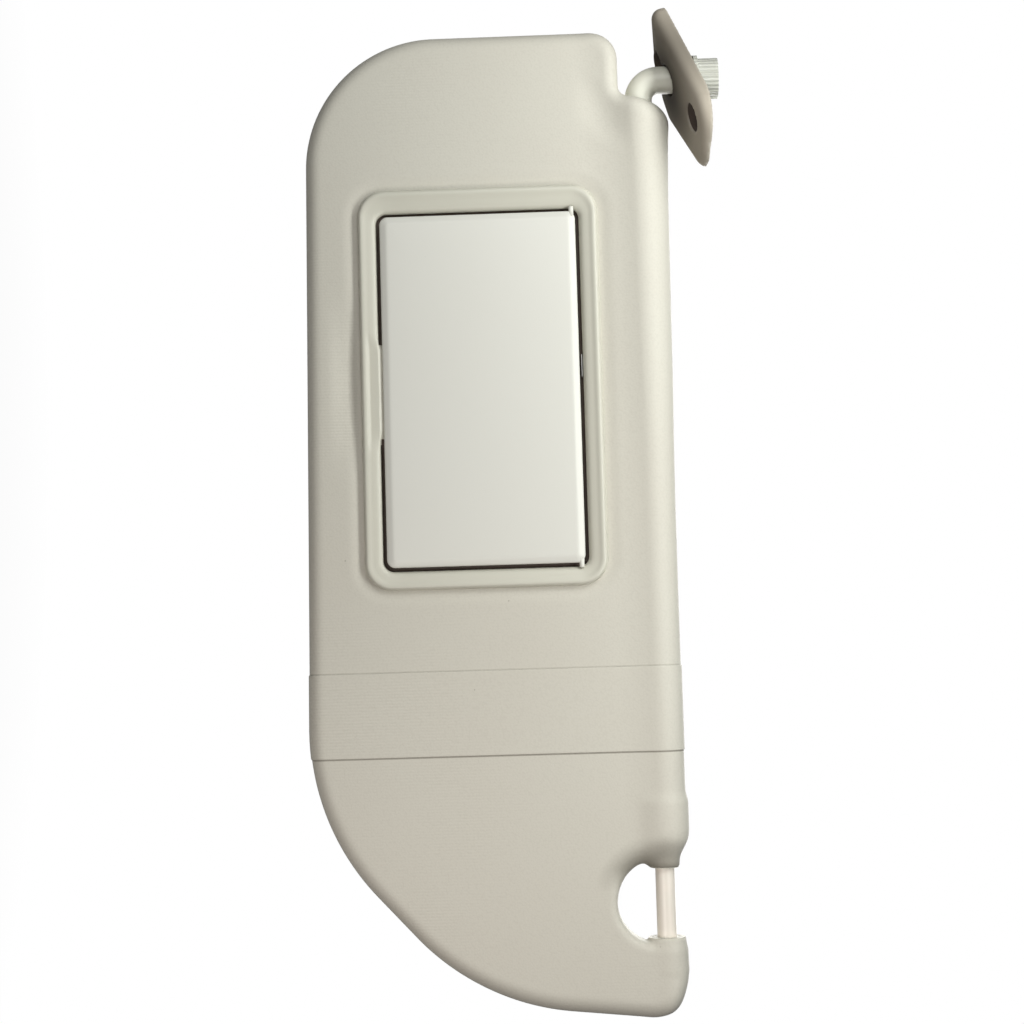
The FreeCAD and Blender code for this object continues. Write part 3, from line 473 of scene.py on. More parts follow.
@dataclass
class ShaderGroups:
    """The effects that several finishes share."""

    grain: bpy.types.NodeTree = field(init=False)
    ribbing: bpy.types.NodeTree = field(init=False)
    mottle: bpy.types.NodeTree = field(init=False)
    wear: bpy.types.NodeTree = field(init=False)

    def __post_init__(self) -> None:
        """Build each group once."""
        self.grain = self.build_grain()
        self.ribbing = self.build_ribbing()
        self.mottle = self.build_mottle()
        self.wear = self.build_wear()

    def build_grain(self) -> bpy.types.NodeTree:
        """Pebbled grain of leather or moulded plastic.

        Returns:
            The group.
        """
        group, tree, start, end = new_group(
            "grain", {"Scale": (Socket.VALUE, 900.0), "Fineness": (Socket.VALUE, 0.5)},
            {"Height": Socket.VALUE, "Pores": Socket.VALUE})
        place = tree.place()
        cells = tree.feed(tree.add("ShaderNodeTexVoronoi", feature="F1", distance="EUCLIDEAN"),
                          Vector=place, Scale=start.outputs["Scale"], Randomness=1.0)
        fine = tree.noise(Vector=place, Scale=tree.maths("MULTIPLY", start.outputs["Scale"], 2.3), Detail=3.0)
        dome = tree.maths("SUBTRACT", 1.0, tree.maths("POWER", cells.outputs["Distance"], 1.6))
        share = tree.maths("MULTIPLY", fine.outputs[0], start.outputs["Fineness"])
        tree.feed(end, Height=tree.maths("ADD", dome, share), Pores=tree.ramp(dome, 0.35, 0.75, 1.0, 0.0))
        return group

    def build_ribbing(self) -> bpy.types.NodeTree:
        """Fine parallel ribs across the blade, stronger in some places than in others.

        Returns:
            The group.
        """
        group, tree, start, end = new_group(
            "ribbing", {"Pitch": (Socket.VALUE, 0.00125), "Depth": (Socket.VALUE, 1.0)},
            {"Height": Socket.VALUE})
        place = tree.place()
        parts = tree.parts(place)
        turn = tree.maths("DIVIDE", parts.outputs["X"], start.outputs["Pitch"])
        wave = tree.maths("SINE", tree.maths("MULTIPLY", turn, 2 * math.pi))
        patch = tree.noise(Vector=place, Scale=14.0, Detail=2.0)
        share = tree.maths("MULTIPLY", tree.ramp(patch.outputs[0], 0.4, 0.62),
                           tree.ramp(parts.outputs["Z"], -0.14, -0.08, 1.0, 0.2))
        height = tree.maths("MULTIPLY", wave, share)
        tree.feed(end, Height=tree.maths("MULTIPLY", height, start.outputs["Depth"]))
        return group

    def build_mottle(self) -> bpy.types.NodeTree:
        """Slow drifts of tint and a few small specks.

        Returns:
            The group.
        """
        group, tree, start, end = new_group(
            "mottle", {"Colour": (Socket.COLOUR, (0.6, 0.6, 0.5, 1)),
                       "Drift": (Socket.COLOUR, (0.5, 0.45, 0.4, 1)),
                       "Amount": (Socket.VALUE, 0.5), "Specks": (Socket.VALUE, 0.0)},
            {"Colour": Socket.COLOUR, "Mask": Socket.VALUE})
        place = tree.place()
        slow = tree.noise(Vector=place, Scale=9.0, Detail=3.0, Roughness=0.55)
        mask = tree.ramp(slow.outputs[0], 0.15, 0.85)
        tinted = tree.mixed(tree.maths("MULTIPLY", mask, start.outputs["Amount"]),
                            start.outputs["Colour"], start.outputs["Drift"])
        dots = tree.feed(tree.add("ShaderNodeTexVoronoi", feature="F1"),
                         Vector=place, Scale=55.0, Randomness=1.0)
        speck = tree.maths("MULTIPLY", tree.ramp(dots.outputs["Distance"], 0.012, 0.022, 1.0, 0.0),
                           start.outputs["Specks"])
        darker = tree.mixed(1.0, tinted, (0.35, 0.31, 0.27, 1), "MULTIPLY")
        tree.feed(end, Colour=tree.mixed(speck, tinted, darker), Mask=mask)
        return group

    def build_wear(self) -> bpy.types.NodeTree:
        """Where edges have been rubbed, from how sharply the surface turns.

        Returns:
            The group.
        """
        group, tree, start, end = new_group(
            "edge_wear", {"Spread": (Socket.VALUE, 0.03), "Amount": (Socket.VALUE, 1.0)},
            {"Mask": Socket.VALUE})
        turn = tree.add("ShaderNodeNewGeometry").outputs["Pointiness"]
        place = tree.place()
        broken = tree.noise(Vector=place, Scale=160.0, Detail=4.0)
        sharp = tree.maths("DIVIDE", tree.maths("SUBTRACT", turn, 0.5), start.outputs["Spread"])
        rubbed = tree.maths("MULTIPLY", tree.ramp(sharp, 0.2, 1.4), tree.ramp(broken.outputs[0], 0.3, 0.65))
        tree.feed(end, Mask=tree.maths("MULTIPLY", rubbed, start.outputs["Amount"]))
        return group


@dataclass(frozen=True)
class Finish:
    """A finish that a piece can wear."""

    name: str
    colour: Rgb

    def begin(self) -> tuple[bpy.types.Material, Tree, bpy.types.Node]:
        """Start the material.

        Returns:
            The material, its tree and its Principled shader.
        """
        made = bpy.data.materials.new(self.name)
        made.use_nodes = True
        tree = Tree(made.node_tree.nodes, made.node_tree.links)
        shader = next(n for n in made.node_tree.nodes if n.type == "BSDF_PRINCIPLED")
        return made, tree, shader

    def mottled(self, tree: Tree, groups: ShaderGroups, drift: Rgb,
                amount: float, specks: float) -> bpy.types.Node:
        """Add this finish's colour with its drifts and specks."""
        return tree.group(groups.mottle, Colour=linear(self.colour), Drift=linear(drift),
                          Amount=amount, Specks=specks)

    def build(self, groups: ShaderGroups) -> bpy.types.Material:
        """Build the material; each kind of finish does it its own way."""
        raise NotImplementedError


@dataclass(frozen=True)
class LeatherFinish(Finish):
    """The cover's soft grained sheet, with fine ribs that show where light grazes it, painted shadow lines
    along the strap's edges and a painted shade beside the clip notch.
    """

    drift: Rgb = (196, 187, 175)
    grain_depth: float = 0.00006
    rib_depth: float = 0.00003
    roughness: float = 0.56
    # painted shadow lines along the strap's two edges: place along the rod in mm, and strength
    strap_edge_shadows: tuple[tuple[float, float], ...] = ((276.25, 0.55), (241.8, 0.22))
    shadow_line_half: float = 0.22
    pore: Rgb = (120, 112, 98)
    # colour of the painted shadow lines by the strap and of the painted shade beside the notch
    crease: Rgb = (96, 90, 78)
    rib_pitch: float = 0.00125
    # painted shade beside the clip notch, on its arm side: centre along the rod and height, radius and reach,
    # in mm
    notch_shade: tuple[float, float, float, float] = (336.2, -27.6, 15.0, 12.0)
    notch_shade_depth: float = 0.68

    def build(self, groups: ShaderGroups) -> bpy.types.Material:
        """Build the material.

        Args:
            groups: The shared effects.

        Returns:
            The material.
        """
        made, tree, shader = self.begin()
        mottle = self.mottled(tree, groups, self.drift, 0.28, 0.5)
        grain = tree.group(groups.grain, Scale=1150.0, Fineness=0.5)
        ribs = tree.group(groups.ribbing, Pitch=self.rib_pitch, Depth=1.0)
        first = tree.bump(Strength=0.35, Distance=self.grain_depth, Height=grain.outputs["Height"])
        second = tree.bump(Strength=0.45, Distance=self.rib_depth, Height=ribs.outputs["Height"],
                           Normal=first.outputs[0])
        pores_and_painted_shade = tree.mixed(tree.maths("MULTIPLY", grain.outputs["Pores"], 0.05), mottle.outputs["Colour"],
                           linear(self.pore))
        parts = tree.parts(tree.place())
        # painted shadow lines where the strap's edges shade the cover
        for along, depth in self.strap_edge_shadows:
            away = tree.maths("ABSOLUTE", tree.maths("SUBTRACT", parts.outputs["X"], along * MM))
            shade = tree.ramp(away, self.shadow_line_half * MM, 1.8 * self.shadow_line_half * MM, depth, 0.0)
            pores_and_painted_shade = tree.mixed(shade, pores_and_painted_shade, linear(self.crease))
        # painted shade round the arm side of the clip notch, where the surface rolls away from the light
        flat = tree.feed(tree.add("ShaderNodeCombineXYZ"), X=parts.outputs["X"], Z=parts.outputs["Z"])
        away = tree.add("ShaderNodeVectorMath", operation="DISTANCE")
        along, height, radius, reach = (value * MM for value in self.notch_shade)
        tree.feed(away, in0=flat.outputs[0], in1=(along, 0.0, height))
        rim = tree.ramp(away.outputs["Value"], radius, radius + reach, self.notch_shade_depth, 0.0)
        side = tree.ramp(parts.outputs["X"], along - 0.3 * radius, along - 0.9 * radius, 0.0, 1.0)
        pores_and_painted_shade = tree.mixed(tree.maths("MULTIPLY", rim, side), pores_and_painted_shade, linear(self.crease))
        rough = tree.ramp(mottle.outputs["Mask"], 0.0, 1.0, self.roughness - 0.05, self.roughness + 0.05)
        tree.feed(shader, Base_Color=pores_and_painted_shade, Roughness=rough, Normal=second.outputs[0], Specular_IOR_Level=0.32)
        return made


@dataclass(frozen=True)
class PlasticFinish(Finish):
    """Moulded plastic with a fine spark-etched grain and rubbed edges, and, where asked, a painted shade that
    darkens it near the pivot axis.
    """

    drift: Rgb = (190, 184, 172)
    roughness: float = 0.42
    grain_scale: float = 1900.0
    grain_depth: float = 0.00003
    gloss: float = 0.45
    depth_glow: float = 0.0
    worn: Rgb = (226, 225, 214)
    # painted shade near the pivot axis, where the arm shades the plate: strength and colour
    axis_shade_depth: float = 0.0
    axis_shade: Rgb = (42, 37, 31)

    def build(self, groups: ShaderGroups) -> bpy.types.Material:
        """Build the material.

        Args:
            groups: The shared effects.

        Returns:
            The material.
        """
        made, tree, shader = self.begin()
        mottle = self.mottled(tree, groups, self.drift, 0.25, 0.25)
        wear = tree.group(groups.wear, Spread=0.06, Amount=0.35)
        grain = tree.group(groups.grain, Scale=self.grain_scale, Fineness=0.8)
        bump = tree.bump(Strength=0.3, Distance=self.grain_depth, Height=grain.outputs["Height"])
        colour = tree.mixed(wear.outputs["Mask"], mottle.outputs["Colour"], linear(self.worn))
        # painted shade: darker within 8 to 32 mm of the pivot axis
        if self.axis_shade_depth:
            place = tree.feed(tree.add("ShaderNodeMapping"), Vector=tree.place(), Scale=(1.0, 1.0, 0.0))
            reach = tree.feed(tree.add("ShaderNodeVectorMath", operation="LENGTH"), in0=place.outputs[0])
            share = tree.ramp(reach.outputs["Value"], 0.008, 0.032, self.axis_shade_depth, 0.0)
            colour = tree.mixed(share, colour, linear(self.axis_shade))
        rough = tree.ramp(mottle.outputs["Mask"], 0.0, 1.0, self.roughness - 0.05, self.roughness + 0.06)
        tree.feed(shader, Base_Color=colour, Roughness=rough, Normal=bump.outputs[0],
                  Specular_IOR_Level=self.gloss)
        if self.depth_glow:
            tree.feed(shader, Subsurface_Weight=self.depth_glow, Subsurface_Radius=(0.004, 0.0035, 0.0028),
                      Subsurface_Scale=1.0)
        return made


@dataclass(frozen=True)
class BushFinish(Finish):
    """Milky nylon with fine ribs along its length."""

    ribs: int = 30
    streak: Rgb = (176, 176, 166)

    def build(self, groups: ShaderGroups) -> bpy.types.Material:
        """Build the material.

        Args:
            groups: The shared effects.

        Returns:
            The material.
        """
        made, tree, shader = self.begin()
        place = tree.place()
        parts = tree.parts(place)
        turn = tree.maths("ARCTAN2", parts.outputs["Y"], parts.outputs["X"])
        wave = tree.maths("SINE", tree.maths("MULTIPLY", turn, float(self.ribs)))
        stretch = tree.feed(tree.add("ShaderNodeMapping"), Vector=place, Scale=(420.0, 420.0, 40.0))
        streaks = tree.noise(Vector=stretch.outputs[0], Scale=1.0, Detail=3.0)
        mottle = self.mottled(tree, groups, self.streak, 0.2, 0.2)
        bump = tree.bump(Strength=0.6, Distance=0.0002, Height=wave)
        share = tree.maths("MULTIPLY", tree.ramp(streaks.outputs[0], 0.45, 0.7), 0.55)
        colour = tree.mixed(share, mottle.outputs["Colour"], linear(self.streak))
        tree.feed(shader, Base_Color=colour, Roughness=tree.ramp(streaks.outputs[0], 0.3, 0.7, 0.2, 0.34),
                  Normal=bump.outputs[0], Subsurface_Weight=0.2, Subsurface_Radius=(0.003, 0.003, 0.0025),
                  Subsurface_Scale=1.0)
        return made


@dataclass(frozen=True)
class MetalFinish(Finish):
    """Drawn or rolled steel with faint lengthwise scratches."""

    roughness: float = 0.3

    def build(self, groups: ShaderGroups) -> bpy.types.Material:
        """Build the material.

        Args:
            groups: The shared effects.

        Returns:
            The material.
        """
        made, tree, shader = self.begin()
        place = tree.place()
        stretch = tree.feed(tree.add("ShaderNodeMapping"), Vector=place, Scale=(60.0, 900.0, 900.0))
        scratch = tree.noise(Vector=stretch.outputs[0], Scale=1.0, Detail=4.0)
        mottle = self.mottled(tree, groups, (120, 118, 112), 0.3, 0.3)
        bump = tree.bump(Strength=0.25, Distance=0.00002, Height=scratch.outputs[0])
        rough = tree.ramp(scratch.outputs[0], 0.3, 0.7, self.roughness - 0.08, self.roughness + 0.12)
        tree.feed(shader, Base_Color=mottle.outputs["Colour"], Metallic=1.0, Roughness=rough,
                  Normal=bump.outputs[0])
        return made


@dataclass(frozen=True)
class MirrorFinish(Finish):
    """Silvered glass with a soft smear or two."""

    def build(self, groups: ShaderGroups) -> bpy.types.Material:
        """Build the material.

        Args:
            groups: The shared effects.

        Returns:
            The material.
        """
        made, tree, shader = self.begin()
        mottle = self.mottled(tree, groups, (214, 220, 222), 0.4, 0.1)
        rough = tree.ramp(mottle.outputs["Mask"], 0.2, 1.0, 0.012, 0.05)
        tree.feed(shader, Base_Color=mottle.outputs["Colour"], Metallic=1.0, Roughness=rough)
        return made


@dataclass(frozen=True)
class FoamFinish(Finish):
    """Open foam: matt, with small cells."""

    cells: float = 1400.0

    def build(self, groups: ShaderGroups) -> bpy.types.Material:
        """Build the material.

        Args:
            groups: The shared effects.

        Returns:
            The material.
        """
        made, tree, shader = self.begin()
        grain = tree.group(groups.grain, Scale=self.cells, Fineness=1.0)
        bump = tree.bump(Strength=0.8, Distance=0.0003, Height=grain.outputs["Height"])
        colour = tree.mixed(grain.outputs["Pores"], linear(self.colour), linear((70, 68, 62)))
        tree.feed(shader, Base_Color=colour, Roughness=0.9, Normal=bump.outputs[0], Specular_IOR_Level=0.2)
        return made


class Look(Enum):
    """Every finish on the visor."""

    COVER = LeatherFinish("cover_leather", (206, 204, 193))
    BEZEL = PlasticFinish("bezel_plastic", (203, 202, 189), roughness=0.4)
    LID = PlasticFinish("lid_plastic", (220, 220, 213), drift=(213, 211, 201), roughness=0.36, gloss=0.4)
    ARM = PlasticFinish("arm_plastic", (228, 228, 214), roughness=0.34)
    # the bracket's face carries a painted shade round the arm
    BRACKET = PlasticFinish("bracket_plastic", (174, 166, 153), drift=(150, 141, 128), roughness=0.6, gloss=0.1,
                            axis_shade_depth=0.85)
    BUSH = BushFinish("bush_nylon", (192, 193, 184))
    ROD = PlasticFinish("rod_plastic", (240, 232, 221), drift=(230, 217, 207), roughness=0.3)
    SOCKET = PlasticFinish("socket_plastic", (206, 204, 190), roughness=0.45)
    HOUSING = PlasticFinish("housing_plastic", (88, 88, 84), roughness=0.5)
    STEEL = MetalFinish("drawn_steel", (196, 196, 192))
    MIRROR = MirrorFinish("silvered_glass", (208, 214, 216))
    # a dark material put in the bezel's gutter and in the screw holes: painted shade
    SHADED_RECESS = PlasticFinish("recess_painted_shade", (70, 58, 50), drift=(58, 48, 42), roughness=0.6, worn=(92, 78, 68))
    FOAM = FoamFinish("core_foam", (206, 200, 176))
    TAPE = FoamFinish("pad_foam", (60, 60, 60), cells=2600.0)


@dataclass
class Wardrobe:
    """Builds each finish the first time that a piece asks for it."""

    groups: ShaderGroups
    made: dict[Look, bpy.types.Material] = field(default_factory=dict)

    def get(self, look: Look) -> bpy.types.Material:
        """The material of a finish.

        Args:
            look: The finish.

        Returns:
            Its material.
        """
        if look not in self.made:
            self.made[look] = look.value.build(self.groups)
        return self.made[look]

    def dress(self, thing: bpy.types.Object, look: Look) -> bpy.types.Object:
        """Give a piece one finish all over.

        Args:
            thing: The piece.
            look: The finish.

        Returns:
            The same piece.
        """
        thing.data.materials.clear()
        thing.data.materials.append(self.get(look))
        return thing


# ---- Blade cover ---------------------------------------------------------------------------

@dataclass(frozen=True)
class BezelPlan:
    """The mirror unit's sizes along the rod and from the rod's axis, shared by cover, bezel and lid."""

    lid_start: float = 55.5
    lid_end: float = 199.9
    lid_low: float = -108.3
    lid_high: float = -27.7
    gap: float = 1.0
    arm_border: float = 11.1
    clip_border: float = 9.0
    border: float = 8.9
    corner: float = 11.0

    def outer(self) -> tuple[float, float, float, float]:
        """The bezel's outer edges: start, end, low and high."""
        return (self.lid_start - self.arm_border, self.lid_end + self.clip_border,
                self.lid_low - self.border, self.lid_high + self.border)

    def outside(self, x: np.ndarray, z: np.ndarray) -> np.ndarray:
        """The distance to the bezel's outer edge, positive outside it.

        Args:
            x: Places along the rod.
            z: Heights from the rod's axis.

        Returns:
            The signed distances.
        """
        start, end, low, high = self.outer()
        a = np.abs(x - (start + end) / 2) - (end - start) / 2 + self.corner
        b = np.abs(z - (low + high) / 2) - (high - low) / 2 + self.corner
        return np.hypot(np.maximum(a, 0), np.maximum(b, 0)) + np.minimum(np.maximum(a, b), 0) - self.corner


@dataclass
class BladeCover:
    """The cover: a bead round the rod that fairs into a flat board, with a notch for the clip."""

    half_thickness: float = 7.5
    fairing: float = 60.0
    edge_round: float = 6.2
    seat_dent: float = 0.95
    seat_width: float = 6.5
    scoop_depth: float = 1.6
    valley_depth: float = 1.1
    notch_along: float = 336.2
    notch_across: float = -3.0
    notch_radius: float = 16.4
    notch_round: float = 3.2
    notch_roll: float = 5.0
    hole_radius: float = 6.15
    hole_depth: float = 17.0
    map_step: float = 0.8
    bezel: BezelPlan = BezelPlan()
    bead_table: tuple[tuple[float, float], ...] = (
        (-10, 12.5), (10, 12.5), (17, 12.4), (21, 12.1), (25, 11.8), (34, 11.5), (50, 11.0), (75, 10.8),
        (100, 10.5), (125, 10.3), (150, 9.8), (175, 9.5), (215, 9.35), (280, 9.3), (304, 9.4), (312, 9.3),
        (330, 8.6), (352, 7.9), (360, 7.9), (364, 8.2), (368, 8.5), (375, 8.7), (400, 8.7))
    nose_table: tuple[tuple[float, float], ...] = (
        (296, 8.8), (308, 8.7), (312, 8.2), (315, 7.1), (318, 6.3), (321, 6.0), (330, 6.0))
    box: tuple[Point, Point] = ((-24.0, -15.0, -145.0), (386.0, 15.0, 16.0))
    clip_round: float = 1.0
    arm_round: float = 1.6
    corners: tuple[Point, ...] = (
        (19.2, 40.0, 0.0), (337.0, 38.6, 0.0), (382.6, 1.0, 17.0), (375.1, -75.1, 97.0), (303.0, -142.2, 97.5),
        (-20.4, -137.9, 54.0), (-20.4, -8.4, 12.0), (6.6, -8.4, 4.5))

    def __post_init__(self) -> None:
        """Draw the outline and work out its distance map once."""
        loop = rounded_loop(self.corners, 1.0)
        self.map_x = np.arange(-40.0, 410.0, self.map_step)
        self.map_z = np.arange(-160.0, 45.0, self.map_step)
        x, z = np.meshgrid(self.map_x, self.map_z, indexing="ij")
        self.map = self.outline_distance(loop, x, z)
        along = np.arange(-40.0, 410.0, 1.0)
        rough = np.interp(along, *np.array(self.bead_table, float).T)
        weights = np.exp(-0.5 * (np.arange(-12, 13) / 4.0) ** 2)
        padded = np.pad(rough, 12, mode="edge")
        self.bead_along, self.bead = along, np.convolve(padded, weights / weights.sum(), "valid")

    @staticmethod
    def outline_distance(loop: np.ndarray, x: np.ndarray, z: np.ndarray) -> np.ndarray:
        """The distance from an outline, negative inside it.

        Args:
            loop: The outline's points.
            x: Places along the rod.
            z: Heights from the rod's axis.

        Returns:
            The signed distances.
        """
        nearest = np.full(x.shape, 1e9)
        inside = np.zeros(x.shape, bool)
        for (ax, az), (bx, bz) in zip(loop, np.roll(loop, -1, axis=0)):
            sx, sz = bx - ax, bz - az
            share = np.clip(((x - ax) * sx + (z - az) * sz) / max(sx * sx + sz * sz, 1e-12), 0, 1)
            nearest = np.minimum(nearest, (x - ax - share * sx) ** 2 + (z - az - share * sz) ** 2)
            if az != bz:
                crosses = (az > z) != (bz > z)
                inside ^= crosses & (x < ax + (z - az) * sx / sz)
        return np.where(inside, -1, 1) * np.sqrt(nearest)

    def board(self, x: np.ndarray, z: np.ndarray) -> np.ndarray:
        """The distance from the blade's outline, read from the map.

        Args:
            x: Places along the rod.
            z: Heights from the rod's axis.

        Returns:
            The signed distances.
        """
        u = np.clip((x - self.map_x[0]) / self.map_step, 0, len(self.map_x) - 1.001)
        v = np.clip((z - self.map_z[0]) / self.map_step, 0, len(self.map_z) - 1.001)
        i, j = u.astype(int), v.astype(int)
        a, b = u - i, v - j
        return ((1 - a) * (1 - b) * self.map[i, j] + a * (1 - b) * self.map[i + 1, j]
                + (1 - a) * b * self.map[i, j + 1] + a * b * self.map[i + 1, j + 1])

    def section(self, radius: np.ndarray, y: np.ndarray, z: np.ndarray) -> np.ndarray:
        """The distance from the blade's section: bead, fairing and flat board.

        Args:
            radius: The bead's radius at each place.
            y: Distances from the blade's middle plane.
            z: Heights from the rod's axis.

        Returns:
            The signed distances.
        """
        reach = self.half_thickness + self.fairing
        fall = np.sqrt(np.maximum((radius + self.fairing) ** 2 - reach ** 2, 0.01))
        side = np.abs(y)
        arc = self.fairing - np.hypot(side - reach, z + fall)
        round_part = np.hypot(side, z) - radius
        upper = np.where(reach * z + fall * side > 0, round_part, arc)
        return np.where(z < -fall, side - self.half_thickness, upper)

    def distance(self, points: np.ndarray) -> np.ndarray:
        """The distance from the cover's surface, negative inside.

        Args:
            points: Rows of x, y and z in millimetres, from the rod's axis.

        Returns:
            The signed distances.
        """
        x, y, z = points[:, 0], points[:, 1], points[:, 2]
        radius = np.interp(x, self.bead_along, self.bead)
        body = self.section(radius, y, z)
        body = body + (y < 0) * self.dents(x, z)
        rim = (self.edge_round + self.clip_round * smooth_step(345, 372, x)
               + self.arm_round * smooth_step(26, 14, x) * smooth_step(-4, 6, z))
        body = round_max(body, self.board(x, z), rim)
        roll = self.notch_round + self.notch_roll * smooth_step(3, 15, self.notch_along - x)
        body = round_max(body, -self.notch(x, z), roll)
        body = soft_min(body, self.nose(x, y, z), 5.0)
        body = soft_min(body, self.boss(x, y, z), 2.0)
        hole = np.maximum(np.hypot(y, z) - self.hole_radius, x - self.hole_depth)
        body = round_max(body, -hole, 0.8)
        rod = np.maximum(np.hypot(y, z) - 4.15, np.abs(x - self.notch_along) - 25.0)
        body = round_max(body, -rod, 0.5)
        return np.maximum(body, -self.tray(x, y, z))

    def dents(self, x: np.ndarray, z: np.ndarray) -> np.ndarray:
        """How far the front sinks: round the bezel, and in the scoop for a finger.

        Args:
            x: Places along the rod.
            z: Heights from the rod's axis.

        Returns:
            The depths.
        """
        away = self.bezel.outside(x, z)
        seat = self.seat_dent * (1 - smooth_step(-1.0, self.seat_width, away))
        scoop = self.scoop_depth * hill(124.0, 44.0, x) * hill(-121.0, 10.0, z) * smooth_step(0.5, 4.5, away)
        valley = self.valley_depth * hill(15.0, 15.0, x - 0.5 * (z + 14.0)) * hill(-15.0, 12.0, z)
        return seat + scoop + valley

    def notch(self, x: np.ndarray, z: np.ndarray) -> np.ndarray:
        """The distance from the notch for the clip, negative in it."""
        wider = 3.4 * smooth_step(-7.0, 0.0, z) * (x < self.notch_along)
        return np.hypot(x - self.notch_along, np.minimum(z - self.notch_across, 0)) - self.notch_radius - wider

    def nose(self, x: np.ndarray, y: np.ndarray, z: np.ndarray) -> np.ndarray:
        """The cuff that the clip rod leaves the cover by."""
        radius = np.interp(x, *np.array(self.nose_table, float).T)
        return round_max(np.hypot(y, z) - radius, np.abs(x - 309.5) - 13.4, 1.3)

    def boss(self, x: np.ndarray, y: np.ndarray, z: np.ndarray) -> np.ndarray:
        """The raised ring at the clip rod's far end."""
        return round_max(np.hypot(y, z) - 7.6, np.abs(x - 357.2) - 7.0, 1.0)

    def tray(self, x: np.ndarray, y: np.ndarray, z: np.ndarray) -> np.ndarray:
        """The pocket that the bezel's tray sits in."""
        plan = self.bezel
        wall = plan.gap + 1.75
        a = np.abs(x - (plan.lid_start + plan.lid_end) / 2) - (plan.lid_end - plan.lid_start) / 2 - wall
        b = np.abs(z - (plan.lid_low + plan.lid_high) / 2) - (plan.lid_high - plan.lid_low) / 2 - wall
        return np.maximum(np.maximum(a, b), y + 1.7)

    def build(self, wardrobe: Wardrobe) -> bpy.types.Object:
        """Build the cover over the whole blade.

        Args:
            wardrobe: The finishes.

        Returns:
            The cover.
        """
        mesher = FormMesher(1.25)
        points, faces = mesher.mesh(self.distance, *self.box)
        cover = mesh_piece("blade_cover", points, faces)
        wardrobe.dress(cover, Look.COVER)
        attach(cover, "blade")
        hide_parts("skin_front", "skin_back")
        return cover


@dataclass
class FoamFill:
    """The moulded foam under the cover, cut away for the rod, the clamp and the mirror's tray."""

    cover: BladeCover
    skin: float = 1.3
    room: float = 0.25
    clamp_radius: float = 9.0
    clamp_low: float = -16.0
    clamp_end: float = 108.0
    lug_half: float = 4.4
    step: float = 2.5

    def distance(self, points: np.ndarray) -> np.ndarray:
        """The distance from the foam's surface, negative inside.

        Args:
            points: Rows of x, y and z in millimetres, from the rod's axis.

        Returns:
            The signed distances.
        """
        x, y, z = points[:, 0], points[:, 1], points[:, 2]
        body = self.cover.distance(points) + self.skin
        clamp = np.maximum(np.hypot(y, z) - self.clamp_radius, x - self.clamp_end)
        lug = np.maximum(np.maximum(np.abs(y) - self.lug_half - self.room,
                                    np.abs(z - self.clamp_low / 2) + self.clamp_low / 2),
                         x - 93.0)
        socket = np.maximum(np.hypot(y, z) - 5.5 - self.room, 303.0 - x)
        return np.maximum(body, -np.minimum(np.minimum(clamp, lug), socket))

    def build(self, wardrobe: Wardrobe) -> bpy.types.Object:
        """Build the foam.

        Args:
            wardrobe: The finishes.

        Returns:
            The foam.
        """
        points, faces = FormMesher(self.step).mesh(self.distance, *self.cover.box)
        foam = mesh_piece("foam_fill", points, faces)
        wardrobe.dress(foam, Look.FOAM)
        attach(foam, "blade")
        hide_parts("foam_core")
        return foam


@dataclass
class TicketStrap:
    """The thin band stretched round the blade."""

    start: float = 242.0
    width: float = 34.0
    thickness: float = 0.35
    cover: BladeCover = field(default_factory=BladeCover)
    end_rays: int = 26
    side_rays: int = 70
    free_middle: float = -135.0  # the middle of the free edge's turn, from the rod's axis

    def loop_rays(self, count: int) -> tuple[np.ndarray, np.ndarray]:
        """The feet and ways of rays from the blade's middle plane out to its surface.

        Args:
            count: How many rays go round each end.

        Returns:
            The feet as y and z, and the ways as y and z.
        """
        feet, ways = [], []
        for foot, first in ((0.0, 0.0), (self.free_middle, math.pi)):
            for k in range(count):
                angle = first + math.pi * k / count
                feet.append((0.0, foot))
                ways.append((math.cos(angle), math.sin(angle)))
            side = -1.0 if foot == 0.0 else 1.0
            for z in np.linspace(foot, self.free_middle - foot, self.side_rays)[:-1]:
                feet.append((0.0, float(z)))
                ways.append((side, 0.0))
        return np.array(feet), np.array(ways)

    def ring(self, along: float, lift: float) -> np.ndarray:
        """One loop of the band, at a height over the cover.

        Args:
            along: The place along the rod.
            lift: The height over the cover's surface.

        Returns:
            The loop's points.
        """
        feet, ways = self.loop_rays(self.end_rays)
        reach = np.full(len(feet), 3.0)
        for _ in range(40):
            spots = np.column_stack([np.full(len(feet), along), feet + ways * reach[:, None]])
            reach = reach + (lift - self.cover.distance(spots))
        return np.column_stack([np.full(len(feet), along), feet + ways * reach[:, None]])

    def build(self, wardrobe: Wardrobe) -> bpy.types.Object:
        """Build the band with its two rolled edges.

        Args:
            wardrobe: The finishes.

        Returns:
            The band.
        """
        end = self.start + self.width
        top = self.thickness
        stations = [(self.start, -0.15), (self.start, 0.6 * top), (self.start + 0.15, 0.9 * top),
                    (self.start + 0.45, top), (self.start + 1.2, top)]
        stations += [(float(x), top) for x in np.linspace(self.start + 4, end - 4, 8)]
        stations += [(2 * self.start + self.width - x, lift) for x, lift in stations[4::-1]]
        rings = [self.ring(x, lift) for x, lift in stations]
        points, faces = rings_mesh(rings, False, False)
        band = outward(mesh_piece("strap_band", points, faces))
        wardrobe.dress(band, Look.COVER)
        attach(band, "blade")
        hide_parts("ticket_strap")
        return band


# ---- Mirror unit ---------------------------------------------------------------------------

